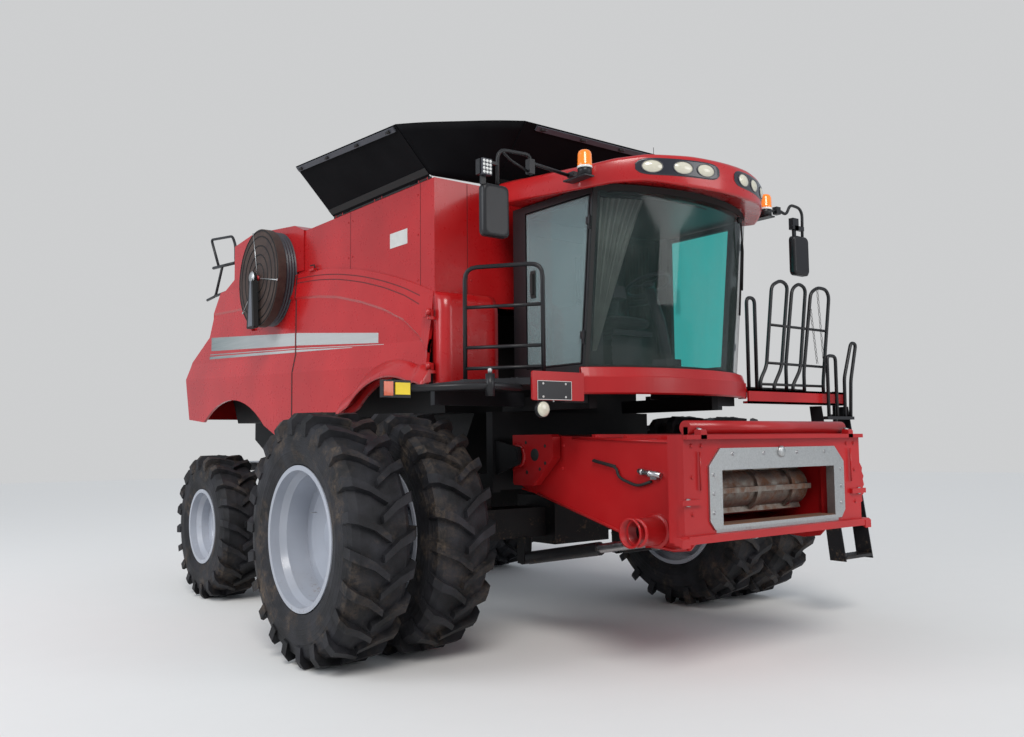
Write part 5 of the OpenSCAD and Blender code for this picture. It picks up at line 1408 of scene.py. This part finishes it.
def corner_panels():
    """Rounded panels ahead of the side doors: a plan with a round corner, drawn in towards the tank at the top."""
    for side, name in SIDES:
        turn = np.radians(np.linspace(0, 90, 12))
        plan = np.vstack([[(1.566, -0.205), (1.566, -0.25)],
                          np.column_stack([1.476 + 0.09 * np.cos(turn), -0.255 - 0.09 * np.sin(turn)]),
                          np.column_stack([np.linspace(1.45, 1.0, 8), np.full(8, -0.345)])])
        rows = []
        for z, inset in ((2.176, 0.03), (2.180, 0.004), (2.20, 0.0), (2.50, 0.0), (2.80, 0.0), (2.875, 0.010),
                         (2.92, 0.034), (2.95, 0.072), (2.965, 0.12), (2.972, 0.155)):
            row = plan.copy()
            row[:, 1] = np.minimum(row[:, 1] + inset, -0.184)
            row[:, 0] -= inset * 0.25 * (row[:, 0] > 1.4)
            rows.append(np.column_stack([side * row[:, 0], row[:, 1], np.full(len(row), z)]))
        skin = Parts()
        skin.add(np.array(rows).reshape(-1, 3), grid_faces(len(rows), len(plan)), True)
        piece = skin.make("front corner panel " + name, "machine", red, "red_paint")
        wall = piece.modifiers.new("wall", "SOLIDIFY")
        wall.thickness = 0.006
        wall.offset = -1


def cab_back_shade_and_mat():
    """A near-black sheet over the rear wall and its window as painted shade of the cab's dark back, the floor mat, and
    a small curtain gathered at the rear.
    """
    lining = Parts()
    # Painted shade: the near-black sheet over the rear wall covers the rear window and stands in for the shade inside
    # the cab.
    lining.box((-0.84, -0.452, 2.302), (0.84, -0.447, 3.62))
    lining.box((-0.82, -1.32, 2.3005), (0.82, -0.46, 2.306))
    lining.make("cab back shade and mat", "machine", cloth("back_shade_and_mat_cloth", (0.020, 0.020, 0.024)), "seat_plastic")

    def place(u, v):
        fold = 0.018 * math.sin(2 * math.pi * 7 * u + 0.5 * math.sin(4 * v))
        return 0.42 + 0.30 * u, -0.49 + fold, 3.56 - 0.80 * v

    piece = hung("rear curtain", 30, 90, place, cloth("rear_curtain_cloth", (0.10, 0.085, 0.075)))


def feeder_fittings():
    """Hydraulic hose and coupling block on the feeder's right sheet."""
    pipes = Parts()
    x = -0.797
    bends = [(-1.30, 1.545), (-1.56, 1.50), (-1.58, 1.42), (-1.78, 1.36), (-1.92, 1.40)]
    pipes.tube(rounded([(x, y, z) for y, z in bends], 0.06), 0.011, 10)
    pipes.tube([(-0.7755, -1.29, 1.545), (-0.7755, -1.535, 1.500)], 0.015, 12)
    pipes.make("feeder hose", "feeder", rubber, "black_paint")
    block = Parts()
    block.tube([(x - 0.004, -1.80, 1.475), (x - 0.004, -2.02, 1.445)], 0.020, 16)
    block.box((x - 0.016, -1.985, 1.415), (x + 0.016, -1.925, 1.475))
    for y in (-1.82, -1.90):
        block.turned([(0, 0), (0.026, 0), (0.026, 0.022), (0, 0.022)], (x - 0.004, y, 1.4715 + 0.136 * (1.80 + y)),
                     -Y, 6)
    block.make("feeder coupling", "feeder", bright, "galvanised")


for draw in (body_sides, covers, rails, walkways, bumper, header_face, roof, mirrors, entry_ladder, feeder,
             screen_housing, screen_rings, fender_lips, corner_panels, cab_back_shade_and_mat, feeder_fittings, roof_lamps,
             beacons, cab_inside, curtain, cab_trim, cover_details, side_stripe, panel_details, lamps_below,
             air_screen_details, wheel_details, feeder_details):
    draw()


# ---------------------------------------------------------------- floor
def floor():
    """A wide pale disc, 1 mm below z = 0."""
    radius, count = 40, 64
    angle = 2 * math.pi * np.arange(count) / count
    points = np.column_stack([radius * np.cos(angle), radius * np.sin(angle), np.full(count, -0.001)])
    m = Maker("floor")
    m.finish(Base_Color=m.mix(m.noise(3, 4) * 0.3, (0.80, 0.80, 0.79), (0.74, 0.74, 0.73)), Roughness=0.85)
    mesh("floor", points, [range(count)], None, m.material)


floor()
